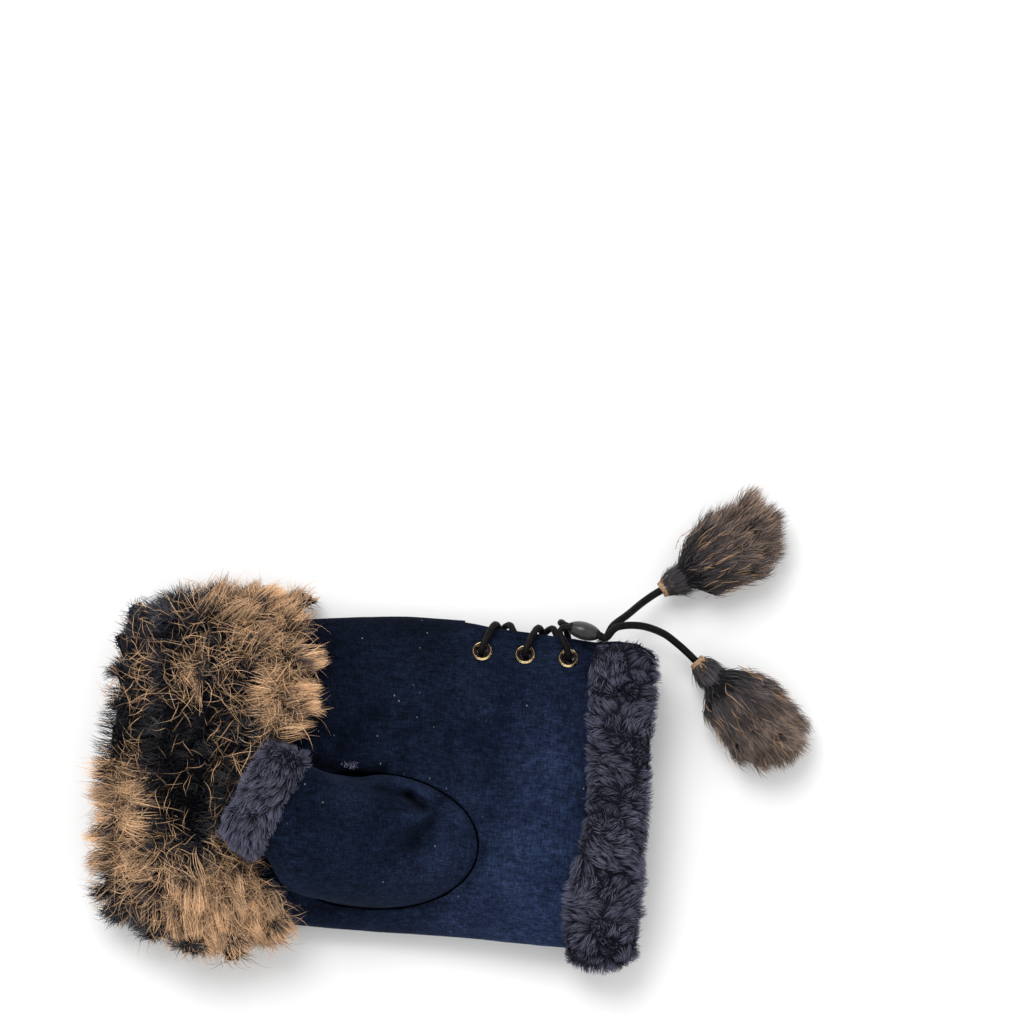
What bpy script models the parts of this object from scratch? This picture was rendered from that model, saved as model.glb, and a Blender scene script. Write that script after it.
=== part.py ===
"""A suede fingerless glove, lying on its back with the palm and the thumb up.

X runs from the fingers (-) to the wrist (+), Y from the thumb's edge (-) to the laced edge (+), Z up.
The origin is on the flat of the glove's underside, below the middle of the palm. Lengths are in metres.
Tables hold shares of the named sizes that they follow.
"""

import math

import bmesh
import bpy
from mathutils import Matrix, Vector

# Body of the glove
FINGER_REACH = 0.094
WRIST_REACH = 0.084
HAND_WIDTH = 0.118
PALM_RISE = 0.016
BACK_SINK = 0.010
SUEDE_WALL = 0.0024
SEAM_GAP = 0.0004
ROUND_STEPS = 36
LENGTH_STEPS = 14

# Thumb
THUMB_MIDDLE = (-0.007, -0.0230)
THUMB_TO_WRIST = 0.0383
THUMB_TO_FINGERS = 0.033
THUMB_HALF_WIDTH = 0.0257
MOUTH_MIDDLE = (-0.0460, -0.0106)
MOUTH_WIDTH = 0.034
MOUTH_HEIGHT = 0.0135
MOUTH_ANGLE = math.radians(155)
THUMB_BULGE = 0.0075
THUMB_BULGE_WAY = (-0.55, -0.84, 0.0)
THUMB_BULGE_FROM = 0.2
THUMB_SEAT = 0.8
THUMB_UPRIGHT = 0.06
THUMB_LEAD = 0.34
THUMB_WALL = 0.0022
THUMB_STEPS = 24
THUMB_RINGS = 7

# Plush rolls at the wrist and at the thumb's mouth
WRIST_ROLL_WIDTH = 0.017
WRIST_ROLL_NOSE = 0.0075
WRIST_ROLL_STAND = 0.0066
THUMB_ROLL_WIDTH = 0.0040
THUMB_ROLL_NOSE = 0.0120
THUMB_ROLL_STAND = 0.0034
WRIST_ROLL_INSIDE = 0.0022
THUMB_ROLL_INSIDE = 0.0010

# Fur at the finger opening
FUR_STRIP_WIDTH = 0.046
FUR_SKIN = 0.0040
FUR_LIP = 0.005
FUR_LINING = 0.0013
FUR_NOSE = 0.0050
FUR_PILE = 0.0145

# Lacing slit and eyelets
SLIT_LENGTH = 0.064
SLIT_GAP_INNER = 0.0046
SLIT_GAP_WRIST = 0.0090
SLIT_BLUNT = 0.55
SLIT_STEPS = 8
EYELET_COUNT = 3
EYELET_FROM_WRIST = 0.0250
EYELET_PITCH = 0.0160
EYELET_STRIP = 3
EYELET_FLANGE = 0.00405
EYELET_BORE = 0.0025
EYELET_METAL = 0.0004
EYELET_STEPS = 10

# Lace, bead and pompoms
LACE = 0.0028
BEAD_LENGTH = 0.0130
BEAD_WIDTH = 0.0072
BEAD_HEIGHT = 0.0100
BEAD_FROM_WRIST = 0.0200
BEAD_FROM_EDGE = 0.0002
BEAD_ABOVE_SIDE = 0.0100
BEAD_ANGLE = math.radians(-12)
SKIN_LENGTH = 0.0055
SKIN_NECK = 0.0031
SKIN_MOUTH = 0.0046
SKIN_WALL = 0.0009
CORD_IN_SKIN = LACE * 1.2
POMPOM_LENGTH = 0.0330
POMPOM_WIDTH = 0.0230
POMPOM_PILE = 0.0090
POMPOM_STEPS = 10
POMPOM_RINGS = 7

# Sections of the body: where along it, how much of the finger end's and of the wrist end's lift it has,
# then the palm's rise, the back's sink, the half width and the sideways shift, and how far the laced
# edge is pinched. Shares of FINGER_LIFT, WRIST_LIFT, PALM_RISE, BACK_SINK and HAND_WIDTH.
SECTION_COLUMNS = ("along", "finger", "wrist", "rise", "sink", "half", "shift", "pinch")
SECTION_ROWS = (
    (0.00, 1.00, 0.00, 0.80, 0.72, 0.455, -0.002, 0.10),
    (0.15, 1.00, 0.00, 0.80, 0.76, 0.466, -0.002, 0.12),
    (0.30, 0.88, 0.00, 0.82, 0.84, 0.482, 0.000, 0.20),
    (0.48, 0.00, 0.00, 0.95, 0.98, 0.500, 0.011, 0.45),
    (0.58, -0.08, 0.00, 0.99, 1.00, 0.500, 0.012, 0.65),
    (0.70, -0.04, 0.18, 1.00, 1.00, 0.500, 0.012, 0.88),
    (0.86, 0.00, 0.72, 0.93, 0.92, 0.502, 0.008, 1.00),
    (1.00, 0.00, 1.00, 0.86, 0.86, 0.500, 0.006, 0.90),
)
SECTIONS = [dict(zip(SECTION_COLUMNS, row)) for row in SECTION_ROWS]
TOP_FLATNESS = 3.2
BACK_FLATNESS = 3.6
ROUND_EDGE = 2.0
PINCHED_EDGE = 1.22

# Folds and dents of the palm and the thumb: two ends in plan, depth and width. Shares of the body's
# length from the origin, of HAND_WIDTH and of PALM_RISE, and the width of HAND_WIDTH.
PALM_FOLDS = (
    {"x0": -0.10, "y0": 0.10, "x1": 0.12, "y1": 0.30, "depth": 0.07, "width": 0.16},
    {"x0": 0.22, "y0": -0.34, "x1": 0.34, "y1": 0.05, "depth": 0.06, "width": 0.11},
)
THUMB_FOLDS = (
    {"x0": 0.010, "y0": -0.030, "x1": 0.070, "y1": -0.075, "depth": 0.20, "width": 0.030},
    {"x0": 0.096, "y0": -0.053, "x1": 0.043, "y1": -0.247, "depth": 0.16, "width": 0.055},
    {"x0": -0.140, "y0": 0.000, "x1": -0.075, "y1": 0.030, "depth": 0.35, "width": 0.050},
)

# The section of a plush roll: how far along from the edge, where 1 is the nose and -1 the roll's back
# end, how far it stands off the suede's outer face (+) or its inner face (-), and whether the point
# lies on the suede.
ROLL_SECTION = (
    {"along": -1.00, "stand": 0.00},
    {"along": -0.95, "stand": 0.72},
    {"along": -0.45, "stand": 1.00},
    {"along": 0.40, "stand": 0.88},
    {"along": 1.00, "stand": 0.15},
    {"along": 0.75, "stand": -1.00},
    {"along": -0.25, "stand": -1.45},
    {"along": -0.80, "stand": -0.55},
    {"along": -0.80, "stand": 0.00, "inside": True},
    {"along": 0.00, "stand": 0.00, "inside": True},
    {"along": 0.00, "stand": 0.00},
)

# How wide and how thick the wrist's plush roll is round the opening, beside its own sizes.
WRIST_ROLL_WAVES = (
    {"turn": 0.00, "width": 0.95, "stand": 0.95},
    {"turn": 0.14, "width": 0.98, "stand": 1.00},
    {"turn": 0.26, "width": 0.84, "stand": 0.92},
    {"turn": 0.37, "width": 1.16, "stand": 1.10},
    {"turn": 0.47, "width": 1.08, "stand": 1.00},
    {"turn": 0.60, "width": 1.00, "stand": 0.90},
    {"turn": 1.00, "width": 0.95, "stand": 0.95},
)

# Rows of fur locks from the nose of the strip to its back edge: how long they are and how far they lean
# along the glove, towards the fingers (-) or the wrist (+). Shares of FUR_PILE.
FUR_ROWS = (
    {"along": -0.04, "length": 0.75, "lean": -0.72},
    {"along": 0.20, "length": 1.00, "lean": -0.42},
    {"along": 0.46, "length": 1.10, "lean": 0.02},
    {"along": 0.72, "length": 1.05, "lean": 0.46},
    {"along": 0.96, "length": 0.70, "lean": 1.00},
)

# A lock's shoulder and tip: how far along the lock each lies beyond the last, and how wide it is beside
# the last.
FUR_LOCK = ({"along": 0.55, "width": 0.84}, {"along": 0.45, "width": 0.40})
POMPOM_LOCK = ({"along": 1.0, "width": 0.36},)

# Routes of the two free ends from the bead to their pompoms, chosen by hand.
STRAND_A = (
    (0.0745, 0.0625, 0.0245),
    (0.0795, 0.0667, 0.0200),
    (0.0845, 0.0712, 0.0140),
    (0.0885, 0.0744, 0.0112),
    (0.0915, 0.0765, 0.0106),
    (0.0945, 0.0786, 0.0106),
)
STRAND_B = (
    (0.0760, 0.0622, 0.0275),
    (0.0845, 0.0632, 0.0225),
    (0.0930, 0.0610, 0.0150),
    (0.0990, 0.0573, 0.0116),
    (0.1035, 0.0538, 0.0106),
    (0.1062, 0.0515, 0.0106),
    (0.1089, 0.0492, 0.0106),
)

BODY_LENGTH = FINGER_REACH + WRIST_REACH
FINGER_LIFT = FUR_SKIN + SEAM_GAP
WRIST_LIFT = WRIST_ROLL_STAND + SEAM_GAP
QUARTER = math.pi / 2
THUMB_FREE_SIDE = QUARTER * 2.7
SHARP_ANGLE = math.radians(50)
TINY = 0.00001


def read_table(rows, key, column, at):
    """A column of a table at a place between its rows, on a smooth curve through them."""
    if at <= rows[0][key]:
        return rows[0][column]
    if at >= rows[-1][key]:
        return rows[-1][column]
    last = len(rows) - 1
    low = max(i for i in range(last) if rows[i][key] <= at)

    def slope(i):
        a, b = max(i - 1, 0), min(i + 1, last)
        return (rows[b][column] - rows[a][column]) / (rows[b][key] - rows[a][key])

    span = rows[low + 1][key] - rows[low][key]
    t = (at - rows[low][key]) / span
    ends = rows[low][column], rows[low + 1][column]
    hold = (2 * t**3 - 3 * t**2 + 1) * ends[0] + (3 * t**2 - 2 * t**3) * ends[1]
    turn = (t**3 - 2 * t**2 + t) * slope(low) + (t**3 - t**2) * slope(low + 1)
    return hold + turn * span


def fold_depth(folds, x, y):
    """How deep the folds press the cloth at this place in plan."""
    depth = 0.0
    for fold in folds:
        a = Vector((fold["x0"] * BODY_LENGTH, fold["y0"] * HAND_WIDTH))
        b = Vector((fold["x1"] * BODY_LENGTH, fold["y1"] * HAND_WIDTH))
        p = Vector((x, y))
        t = max(0.0, min(1.0, (p - a).dot(b - a) / (b - a).length_squared))
        away = (p - a.lerp(b, t)).length / (fold["width"] * HAND_WIDTH)
        depth += fold["depth"] * PALM_RISE * math.exp(-away * away)
    return depth


def side_height(x):
    """Height of the glove's edge line, where palm and back meet."""
    at = min(max((x + FINGER_REACH) / BODY_LENGTH, 0.0), 1.0)
    lift = read_table(SECTIONS, "along", "finger", at) * FINGER_LIFT
    lift += read_table(SECTIONS, "along", "wrist", at) * WRIST_LIFT
    return lift + read_table(SECTIONS, "along", "sink", at) * BACK_SINK


def body_point(x, turn, stand=0.0):
    """A point of the body's outer face, or of a face that stands off it, outwards (+) or inwards (-). A
    turn of 0 is the laced edge, 1/4 the palm, 1/2 the thumb's edge and 3/4 the back. Past the body's
    ends it keeps the end's section."""
    at = min(max((x + FINGER_REACH) / BODY_LENGTH, 0.0), 1.0)
    across, up = math.cos(turn * 2 * math.pi), math.sin(turn * 2 * math.pi)
    share = abs(across)
    half = read_table(SECTIONS, "along", "half", at) * HAND_WIDTH + stand
    shift = read_table(SECTIONS, "along", "shift", at) * HAND_WIDTH
    pinch = read_table(SECTIONS, "along", "pinch", at) if across > 0 else 0.0
    edge = ROUND_EDGE + (PINCHED_EDGE - ROUND_EDGE) * pinch
    y = shift + across * half
    if up >= 0:
        rise = read_table(SECTIONS, "along", "rise", at) * PALM_RISE + stand
        z = side_height(x) + rise * (1 - share**TOP_FLATNESS) ** (1 / edge)
        return Vector((x, y, z - fold_depth(PALM_FOLDS, x, y) * up))
    sink = read_table(SECTIONS, "along", "sink", at) * BACK_SINK + stand
    z = side_height(x) - sink * (1 - share**BACK_FLATNESS) ** (1 / edge)
    return Vector((x, y, max(z, -min(stand, 0.0))))


def body_normal(x, turn):
    """Outward direction of the body's outer face."""
    step = 0.5 / ROUND_STEPS
    around = body_point(x, turn + step) - body_point(x, turn - step)
    along = body_point(x + SUEDE_WALL, turn) - body_point(x - SUEDE_WALL, turn)
    return around.cross(along).normalized()


def turn_at(x, y, palm):
    """The turn of the body's section that lies at this Y, on its palm or on its back."""
    at = (x + FINGER_REACH) / BODY_LENGTH
    half = read_table(SECTIONS, "along", "half", at) * HAND_WIDTH
    shift = read_table(SECTIONS, "along", "shift", at) * HAND_WIDTH
    turn = math.acos(max(-1.0, min(1.0, (y - shift) / half))) / (2 * math.pi)
    return turn if palm else 1 - turn


def palm_height(x, y):
    return body_point(x, turn_at(x, y, True)).z


def place(name, mesh, material, collection, at=None):
    """Adds an object with its mesh, its material and its place."""
    thing = bpy.data.objects.new(name, mesh)
    collection.objects.link(thing)
    if material:
        mesh.materials.append(material)
    if at:
        thing.matrix_world = at
    return thing


def make_material(name, colour, roughness, metallic=0.0):
    material = bpy.data.materials.new(name)
    material.use_nodes = True
    shader = material.node_tree.nodes["Principled BSDF"]
    shader.inputs["Base Color"].default_value = (*colour, 1)
    shader.inputs["Roughness"].default_value = roughness
    shader.inputs["Metallic"].default_value = metallic
    return material


def mesh_of(bm, name):
    """A mesh from this bmesh, with its faces turned out and round shapes smooth."""
    bmesh.ops.recalc_face_normals(bm, faces=bm.faces)
    mesh = bpy.data.meshes.new(name)
    bm.to_mesh(mesh)
    bm.free()
    mesh.shade_smooth()
    mesh.set_sharp_from_angle(angle=SHARP_ANGLE)
    return mesh


def loft(bm, rings, along=False):
    """Joins closed rows of points into faces, and with along the last row to the first. Returns the
    faces, row by row, and the rows."""
    rows = [[bm.verts.new(p) for p in ring] for ring in rings]
    made = []
    for near, far in zip(rows, rows[1:] + rows[:1] if along else rows[1:]):
        corners = zip(near, near[1:] + near[:1], far[1:] + far[:1], far)
        made.append([bm.faces.new(face) for face in corners])
    return made, rows


def turn_profile(bm, thing_name, axis, material, collection, at):
    """A closed profile turned about an axis into a round piece."""
    mesh = bpy.data.meshes.new(thing_name)
    bm.to_mesh(mesh)
    bm.free()
    thing = place(thing_name, mesh, material, collection, at)
    turned = thing.modifiers.new("turned", "SCREW")
    turned.axis = axis
    turned.steps = turned.render_steps = EYELET_STEPS
    turned.use_merge_vertices = True
    turned.merge_threshold = TINY
    turned.use_normal_flip = True
    turned.use_smooth_shade = True
    return thing


def closed_profile(points):
    """The closed line through these points."""
    bm = bmesh.new()
    corners = [bm.verts.new(p) for p in points]
    for a, b in zip(corners, corners[1:] + corners[:1]):
        bm.edges.new((a, b))
    return bm


def cut(thing, cutter):
    """Takes the cutter's shape out of the thing."""
    cutter.hide_render = True
    cutter.display_type = "WIRE"
    difference = thing.modifiers.new("cut_" + cutter.name, "BOOLEAN")
    difference.operation = "DIFFERENCE"
    difference.object = cutter


def stand_on(point, direction):
    """The place of a piece whose own Z points in this direction."""
    return Matrix.Translation(point) @ direction.to_track_quat("Z", "Y").to_matrix().to_4x4()


def thumb_oval(angle, grow=0.0):
    """The outline of the thumb hole in plan: round towards the wrist, blunt towards the fingers."""
    across, up = math.cos(angle), math.sin(angle)
    reach = (THUMB_TO_WRIST if across > 0 else THUMB_TO_FINGERS) + grow
    power = 2.0 if across > 0 else 3.0
    x = math.copysign(abs(across) ** (2 / power), across) * reach
    y = math.copysign(abs(up) ** (2 / power), up) * (THUMB_HALF_WIDTH + grow)
    return THUMB_MIDDLE[0] + x, THUMB_MIDDLE[1] + y


def mouth_height():
    """Height of the middle of the thumb's mouth: its plush roll rests on the skin of the fur strip."""
    ground = palm_height(*MOUTH_MIDDLE) + SEAM_GAP + FUR_SKIN
    return ground + SEAM_GAP * 2 + THUMB_ROLL_STAND + MOUTH_HEIGHT / 2


def mouth_axis():
    return Vector((math.cos(MOUTH_ANGLE), math.sin(MOUTH_ANGLE), 0))


def mouth_point(angle, stand=0.0, beyond=0.0):
    """A point of the thumb's mouth, a flattened oval: 0 is its top, a quarter turn its side towards the
    laced edge."""
    sideways = Vector((mouth_axis().y, -mouth_axis().x, 0))
    across, high = math.sin(angle), math.cos(angle)
    out = (MOUTH_WIDTH / 2 + stand) * math.copysign(abs(across) ** 0.9, across)
    up = (MOUTH_HEIGHT / 2 + stand) * math.copysign(abs(high) ** 0.6, high)
    middle = Vector((*MOUTH_MIDDLE, mouth_height()))
    return middle + sideways * out + Vector((0, 0, up)) + mouth_axis() * beyond


def thumb_point(share, angle, stand=0.0):
    """A point of the thumb stall's outer face, from its seam (0) to the collar of its mouth (1), or of a
    face that stands in from it (-)."""
    x, y = thumb_oval(angle, stand - SEAM_GAP)
    start = Vector((x, y, palm_height(x, y) - SUEDE_WALL * THUMB_SEAT))
    end = mouth_point(angle, stand, -THUMB_ROLL_WIDTH - SEAM_GAP)
    way = (end - start).length
    rising = start + Vector((0, 0, SUEDE_WALL + THUMB_UPRIGHT * way))
    leading = end - mouth_axis() * THUMB_LEAD * way
    s, t = 1 - share, share
    p = start * s**3 + rising * 3 * s * s * t + leading * 3 * s * t * t + end * t**3
    free_side = max(0.0, math.cos(angle - THUMB_FREE_SIDE)) ** 2
    lifted = max(0.0, share - THUMB_BULGE_FROM) / (1 - THUMB_BULGE_FROM)
    p += Vector(THUMB_BULGE_WAY) * THUMB_BULGE * free_side * math.sin(math.pi * lifted) ** 1.5
    upper = max(0.0, math.cos(angle / 2)) ** 2
    middle = math.sin(math.pi * share)
    p.z -= (fold_depth(THUMB_FOLDS, p.x, p.y) - stand) * middle * upper
    return p


def build_shell(collection, cutters, material):
    """The suede body: a lofted tube with a wall, and its thumb hole, slit and eyelet holes."""
    bm = bmesh.new()
    places = [-FINGER_REACH + BODY_LENGTH * i / LENGTH_STEPS for i in range(LENGTH_STEPS + 1)]
    turns = [j / ROUND_STEPS for j in range(ROUND_STEPS)]
    rings = [[body_point(x, turn) for turn in turns] for x in places]
    rings += [[body_point(x, turn, -SUEDE_WALL) for turn in turns] for x in reversed(places)]
    loft(bm, rings, along=True)
    shell = place("suede_shell", mesh_of(bm, "suede_shell"), material, collection)
    cut(shell, thumb_cutter(cutters))
    cut(shell, slit_cutter(cutters))
    for name, point, direction in eyelet_places():
        cut(shell, hole_cutter(cutters, name, point, direction))
    return shell


def thumb_cutter(cutters):
    """A prism of the thumb hole's outline, through the palm and not the back."""
    bm = bmesh.new()
    middle_height = side_height(THUMB_MIDDLE[0])
    outline = [thumb_oval(2 * math.pi * i / THUMB_STEPS) for i in range(THUMB_STEPS)]
    floor = bm.faces.new([bm.verts.new((x, y, middle_height)) for x, y in outline])
    raised = bmesh.ops.extrude_face_region(bm, geom=[floor])["geom"]
    tops = [v for v in raised if isinstance(v, bmesh.types.BMVert)]
    bmesh.ops.translate(bm, verts=tops, vec=(0, 0, PALM_RISE * 3))
    return place("thumb_hole", mesh_of(bm, "thumb_hole"), None, cutters)


def slit_half_gap(x):
    """Half the slit's width: it opens from its inner end to the wrist."""
    share = (x - WRIST_REACH + SLIT_LENGTH) / SLIT_LENGTH
    return (SLIT_GAP_INNER + (SLIT_GAP_WRIST - SLIT_GAP_INNER) * max(0.0, share)) / 2


def slit_cutter(cutters):
    """A wedge along the laced edge that follows the edge line's height, with a blunt inner end."""
    bm = bmesh.new()
    depth = EYELET_FLANGE * 3.5
    rings = []
    for i in range(SLIT_STEPS + 1):
        x = WRIST_REACH - SLIT_LENGTH + (SLIT_LENGTH + WRIST_ROLL_NOSE) * i / SLIT_STEPS
        edge = body_point(min(x, WRIST_REACH), 0.0)
        half = slit_half_gap(x) * (SLIT_BLUNT if i == 0 else 1)
        corners = ((-depth, -half), (depth, -half), (depth, half), (-depth, half))
        rings.append([Vector((x, edge.y + out, edge.z + up)) for out, up in corners])
    _, rows = loft(bm, rings)
    bm.faces.new(rows[0])
    bm.faces.new(rows[-1])
    return place("slit", mesh_of(bm, "slit"), None, cutters)


def eyelet_x(number):
    """How far along the glove an eyelet of this number is: the last is nearest the wrist."""
    return WRIST_REACH - EYELET_FROM_WRIST - EYELET_PITCH * (EYELET_COUNT - number)


def eyelet_places():
    """The name, place on the suede's outer face and outward direction of each eyelet. They sit in the
    middle of one flat strip of the section, on either side of the slit."""
    found = []
    step = 0.5 / ROUND_STEPS
    strip = (EYELET_STRIP + 0.5) / ROUND_STEPS
    for panel, turn in (("palm", strip), ("back", 1 - strip)):
        for i in range(EYELET_COUNT):
            x = eyelet_x(i + 1)
            point = (body_point(x, turn - step) + body_point(x, turn + step)) / 2
            found.append((f"eyelet_{panel}_{i + 1}", point, body_normal(x, turn)))
    return found


def add_rod(bm, radius, length):
    """A round rod along Z, as a cutter for a bore."""
    steps = EYELET_STEPS
    bmesh.ops.create_cone(bm, cap_ends=True, segments=steps, radius1=radius, radius2=radius, depth=length)


def hole_cutter(cutters, name, point, direction):
    bm = bmesh.new()
    middle = stand_on(point - direction * SUEDE_WALL / 2, direction)
    add_rod(bm, EYELET_BORE + EYELET_METAL + SEAM_GAP, SUEDE_WALL * 2.2)
    return place("hole_" + name, mesh_of(bm, "hole_" + name), None, cutters, middle)


def build_thumb(collection, material):
    """The thumb stall: lofted from the oval seam to the flattened mouth, with a wall."""
    bm = bmesh.new()
    angles = [2 * math.pi * i / THUMB_STEPS for i in range(THUMB_STEPS)]
    faces = []
    for stand in (0.0, -THUMB_WALL):
        rings = [[thumb_point(k / THUMB_RINGS, a, stand) for a in angles] for k in range(THUMB_RINGS + 1)]
        faces.append(rings + [[mouth_point(a, stand) for a in angles]])
    loft(bm, faces[0] + faces[1][::-1], along=True)
    return place("thumb_stall", mesh_of(bm, "thumb_stall"), material, collection)


def roll_offsets(wall, width, nose, stand, inside):
    """The points of a plush roll's section, as (how far past the edge, how far off the outer face)."""
    found = []
    for row in ROLL_SECTION:
        along = row["along"] * (nose if row["along"] > 0 else width)
        if row["along"] == 0:
            along = SEAM_GAP
        if row.get("inside"):
            off = -wall - SEAM_GAP
        elif row["stand"] < 0:
            off = -wall - SEAM_GAP + row["stand"] * inside
        else:
            off = SEAM_GAP + row["stand"] * stand
        found.append((along, off))
    return found


def build_wrist_plush(collection, material):
    """The plush roll of the wrist opening. It is split where the slit comes out."""
    bm = bmesh.new()
    rings = []
    for j in range(1, ROUND_STEPS):
        turn = j / ROUND_STEPS
        edge = body_point(WRIST_REACH, turn)
        near_slit = edge.y > 0 and abs(edge.z - side_height(WRIST_REACH)) < SLIT_GAP_WRIST / 2
        if not near_slit:
            width = WRIST_ROLL_WIDTH * read_table(WRIST_ROLL_WAVES, "turn", "width", turn)
            stand = WRIST_ROLL_STAND * read_table(WRIST_ROLL_WAVES, "turn", "stand", turn)
            section = roll_offsets(SUEDE_WALL, width, WRIST_ROLL_NOSE, stand, WRIST_ROLL_INSIDE)
            rings.append([body_point(WRIST_REACH + along, turn, off) for along, off in section])
    _, rows = loft(bm, rings)
    bm.faces.new(rows[0])
    bm.faces.new(rows[-1])
    return place("wrist_plush", mesh_of(bm, "wrist_plush"), material, collection)


def build_thumb_plush(collection, material):
    """The plush roll round the thumb's mouth."""
    bm = bmesh.new()
    sizes = THUMB_WALL, THUMB_ROLL_WIDTH, THUMB_ROLL_NOSE, THUMB_ROLL_STAND, THUMB_ROLL_INSIDE
    section = roll_offsets(*sizes)
    angles = [2 * math.pi * i / THUMB_STEPS for i in range(THUMB_STEPS)]
    loft(bm, [[mouth_point(a, off, along) for a in angles] for along, off in section], along=True)
    return place("thumb_plush", mesh_of(bm, "thumb_plush"), material, collection)


def raise_locks(bm, faces, tip_of, steps):
    """Draws each face out into a lock with a narrow tip. tip_of gives a lock's tip as a vector from the
    middle of its face."""
    for face in faces:
        way = tip_of(face)
        for step in steps:
            face = bmesh.ops.extrude_discrete_faces(bm, faces=[face])["faces"][0]
            middle = face.calc_center_median()
            for v in face.verts:
                v.co = middle + (v.co - middle) * step["width"] + way * step["along"]


def beside_thumb(p):
    """How far a place in plan is from the thumb and its roll: 0 is under them."""
    tip = Vector(MOUTH_MIDDLE) + mouth_axis().xy * (THUMB_ROLL_NOSE - MOUTH_WIDTH / 2)
    way = Vector(THUMB_MIDDLE) - tip
    share = max(0.0, min(1.0, (p.xy - tip).dot(way) / way.length_squared))
    reach = (MOUTH_WIDTH / 2 + THUMB_ROLL_STAND) * (1 - share) + THUMB_HALF_WIDTH * share
    return max(0.0, (p.xy - tip - way * share).length - reach)


def build_fur_cuff(collection, material):
    """The fur strip: its skin wraps the finger opening's edge, and its locks are drawn out of the skin."""
    bm = bmesh.new()
    inside = -SUEDE_WALL - SEAM_GAP
    skin = [(FUR_LIP, inside), (FUR_LIP, inside - FUR_LINING), (0.0, inside - FUR_LINING)]
    skin.append((-FUR_NOSE, -SUEDE_WALL / 2))
    edges = [(near["along"] + far["along"]) / 2 for near, far in zip(FUR_ROWS, FUR_ROWS[1:])]
    skin += [(edge * FUR_STRIP_WIDTH, SEAM_GAP + FUR_SKIN) for edge in edges]
    skin += [(FUR_STRIP_WIDTH, SEAM_GAP + FUR_SKIN * 0.5), (FUR_STRIP_WIDTH, SEAM_GAP)]
    skin += [(-SEAM_GAP, SEAM_GAP), (-SEAM_GAP, inside)]
    rings = []
    for along, off in skin:
        rings.append([body_point(-FINGER_REACH + along, j / ROUND_STEPS, off) for j in range(ROUND_STEPS)])
    rows, _ = loft(bm, rings, along=True)
    bmesh.ops.recalc_face_normals(bm, faces=bm.faces)
    for k, row in enumerate(FUR_ROWS):
        locks = [face for face in rows[3 + k] if has_lock(face)]
        raise_locks(bm, locks, lambda face, row=row: fur_tip(face, row), FUR_LOCK)
    return place("fur_cuff", mesh_of(bm, "fur_cuff"), material, collection)


def has_lock(face):
    """No lock grows where the strip lies on the surface below or the thumb lies on the strip."""
    middle = face.calc_center_median()
    if middle.z > side_height(middle.x):
        return beside_thumb(middle) > FUR_PILE * 0.25
    return face.normal.z > -0.8


def fur_tip(face, row):
    """The tip of one fur lock: it stands out from the skin, leans as its row does, parts round the thumb
    and stays above the surface below."""
    middle = face.calc_center_median()
    ragged = 0.88 + 0.12 * math.sin(middle.x / FUR_PILE * 7 + middle.y / FUR_PILE * 5)
    sway = math.sin(middle.x / FUR_PILE * 3 - middle.y / FUR_PILE * 8)
    aside = face.normal.cross(Vector((1, 0, 0))) * sway
    keep = 1.0
    if middle.z > side_height(middle.x):
        keep = min(1.0, 0.3 + 0.7 * beside_thumb(middle) / FUR_PILE)
    tip = (face.normal * row["length"] * ragged + aside * 0.12) * FUR_PILE * keep
    tip.x += FUR_PILE * row["lean"] * ragged * keep
    tip.z = max(tip.z, -min(v.co.z for v in face.verts))
    return tip


def build_eyelet(collection, material, name, point, direction):
    """A brass eyelet: a barrel through the suede with a rolled flange on either face, turned."""
    outer, bore, wall = EYELET_FLANGE, EYELET_BORE, SUEDE_WALL
    barrel = bore + EYELET_METAL
    high = SEAM_GAP + EYELET_METAL * 2
    profile = (
        (barrel, SEAM_GAP),
        (outer, SEAM_GAP),
        (bore + EYELET_METAL * 2.4, high),
        (bore, high * 0.5),
        (bore, -wall),
        (bore + EYELET_METAL * 2, -wall - high * 0.8),
        (outer * 0.82, -wall - SEAM_GAP),
        (barrel, -wall - SEAM_GAP),
    )
    bm = closed_profile([(r, 0, z) for r, z in profile])
    return turn_profile(bm, name, "Z", material, collection, stand_on(point, direction))


def smooth_route(points, per_span):
    """Points along a smooth curve through the given ones."""
    found = []
    last = len(points) - 1
    for i in range(last):
        p0, p1 = points[max(i - 1, 0)], points[i]
        p2, p3 = points[i + 1], points[min(i + 2, last)]
        for k in range(per_span):
            t = k / per_span
            bend = 2 * p0 - 5 * p1 + 4 * p2 - p3
            twist = 3 * p1 - p0 - 3 * p2 + p3
            found.append(p1 + ((p2 - p0) * t + bend * t**2 + twist * t**3) / 2)
    return found + [points[last]]


def build_cord(collection, material, name, points):
    """A round cord along these points."""
    curve = bpy.data.curves.new(name, "CURVE")
    curve.dimensions = "3D"
    curve.bevel_depth = LACE / 2
    curve.bevel_resolution = 2
    curve.use_fill_caps = True
    spline = curve.splines.new("POLY")
    spline.points.add(len(points) - 1)
    for p, spot in zip(points, spline.points):
        spot.co = (*p, 1)
    return place(name, curve, material, collection)


def eyelet_stops(point, direction):
    """Where the lace passes an eyelet: inside the glove, in the bore and outside."""
    away = LACE / 2 + SEAM_GAP * 2 + EYELET_METAL * 2
    inner = point - direction * (SUEDE_WALL + away)
    return inner, point - direction * SUEDE_WALL / 2, point + direction * (away + SEAM_GAP)


def bead_place():
    edge = body_point(WRIST_REACH - BEAD_FROM_WRIST, 0.0)
    return edge + Vector((0, -BEAD_FROM_EDGE, BEAD_ABOVE_SIDE))


def bead_axis():
    return Vector((math.cos(BEAD_ANGLE), math.sin(BEAD_ANGLE), 0))


def bore_height(upper):
    """How far above or below the bead's middle one of its two bores lies."""
    return (1 if upper else -1) * (LACE + SEAM_GAP) / 2


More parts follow.
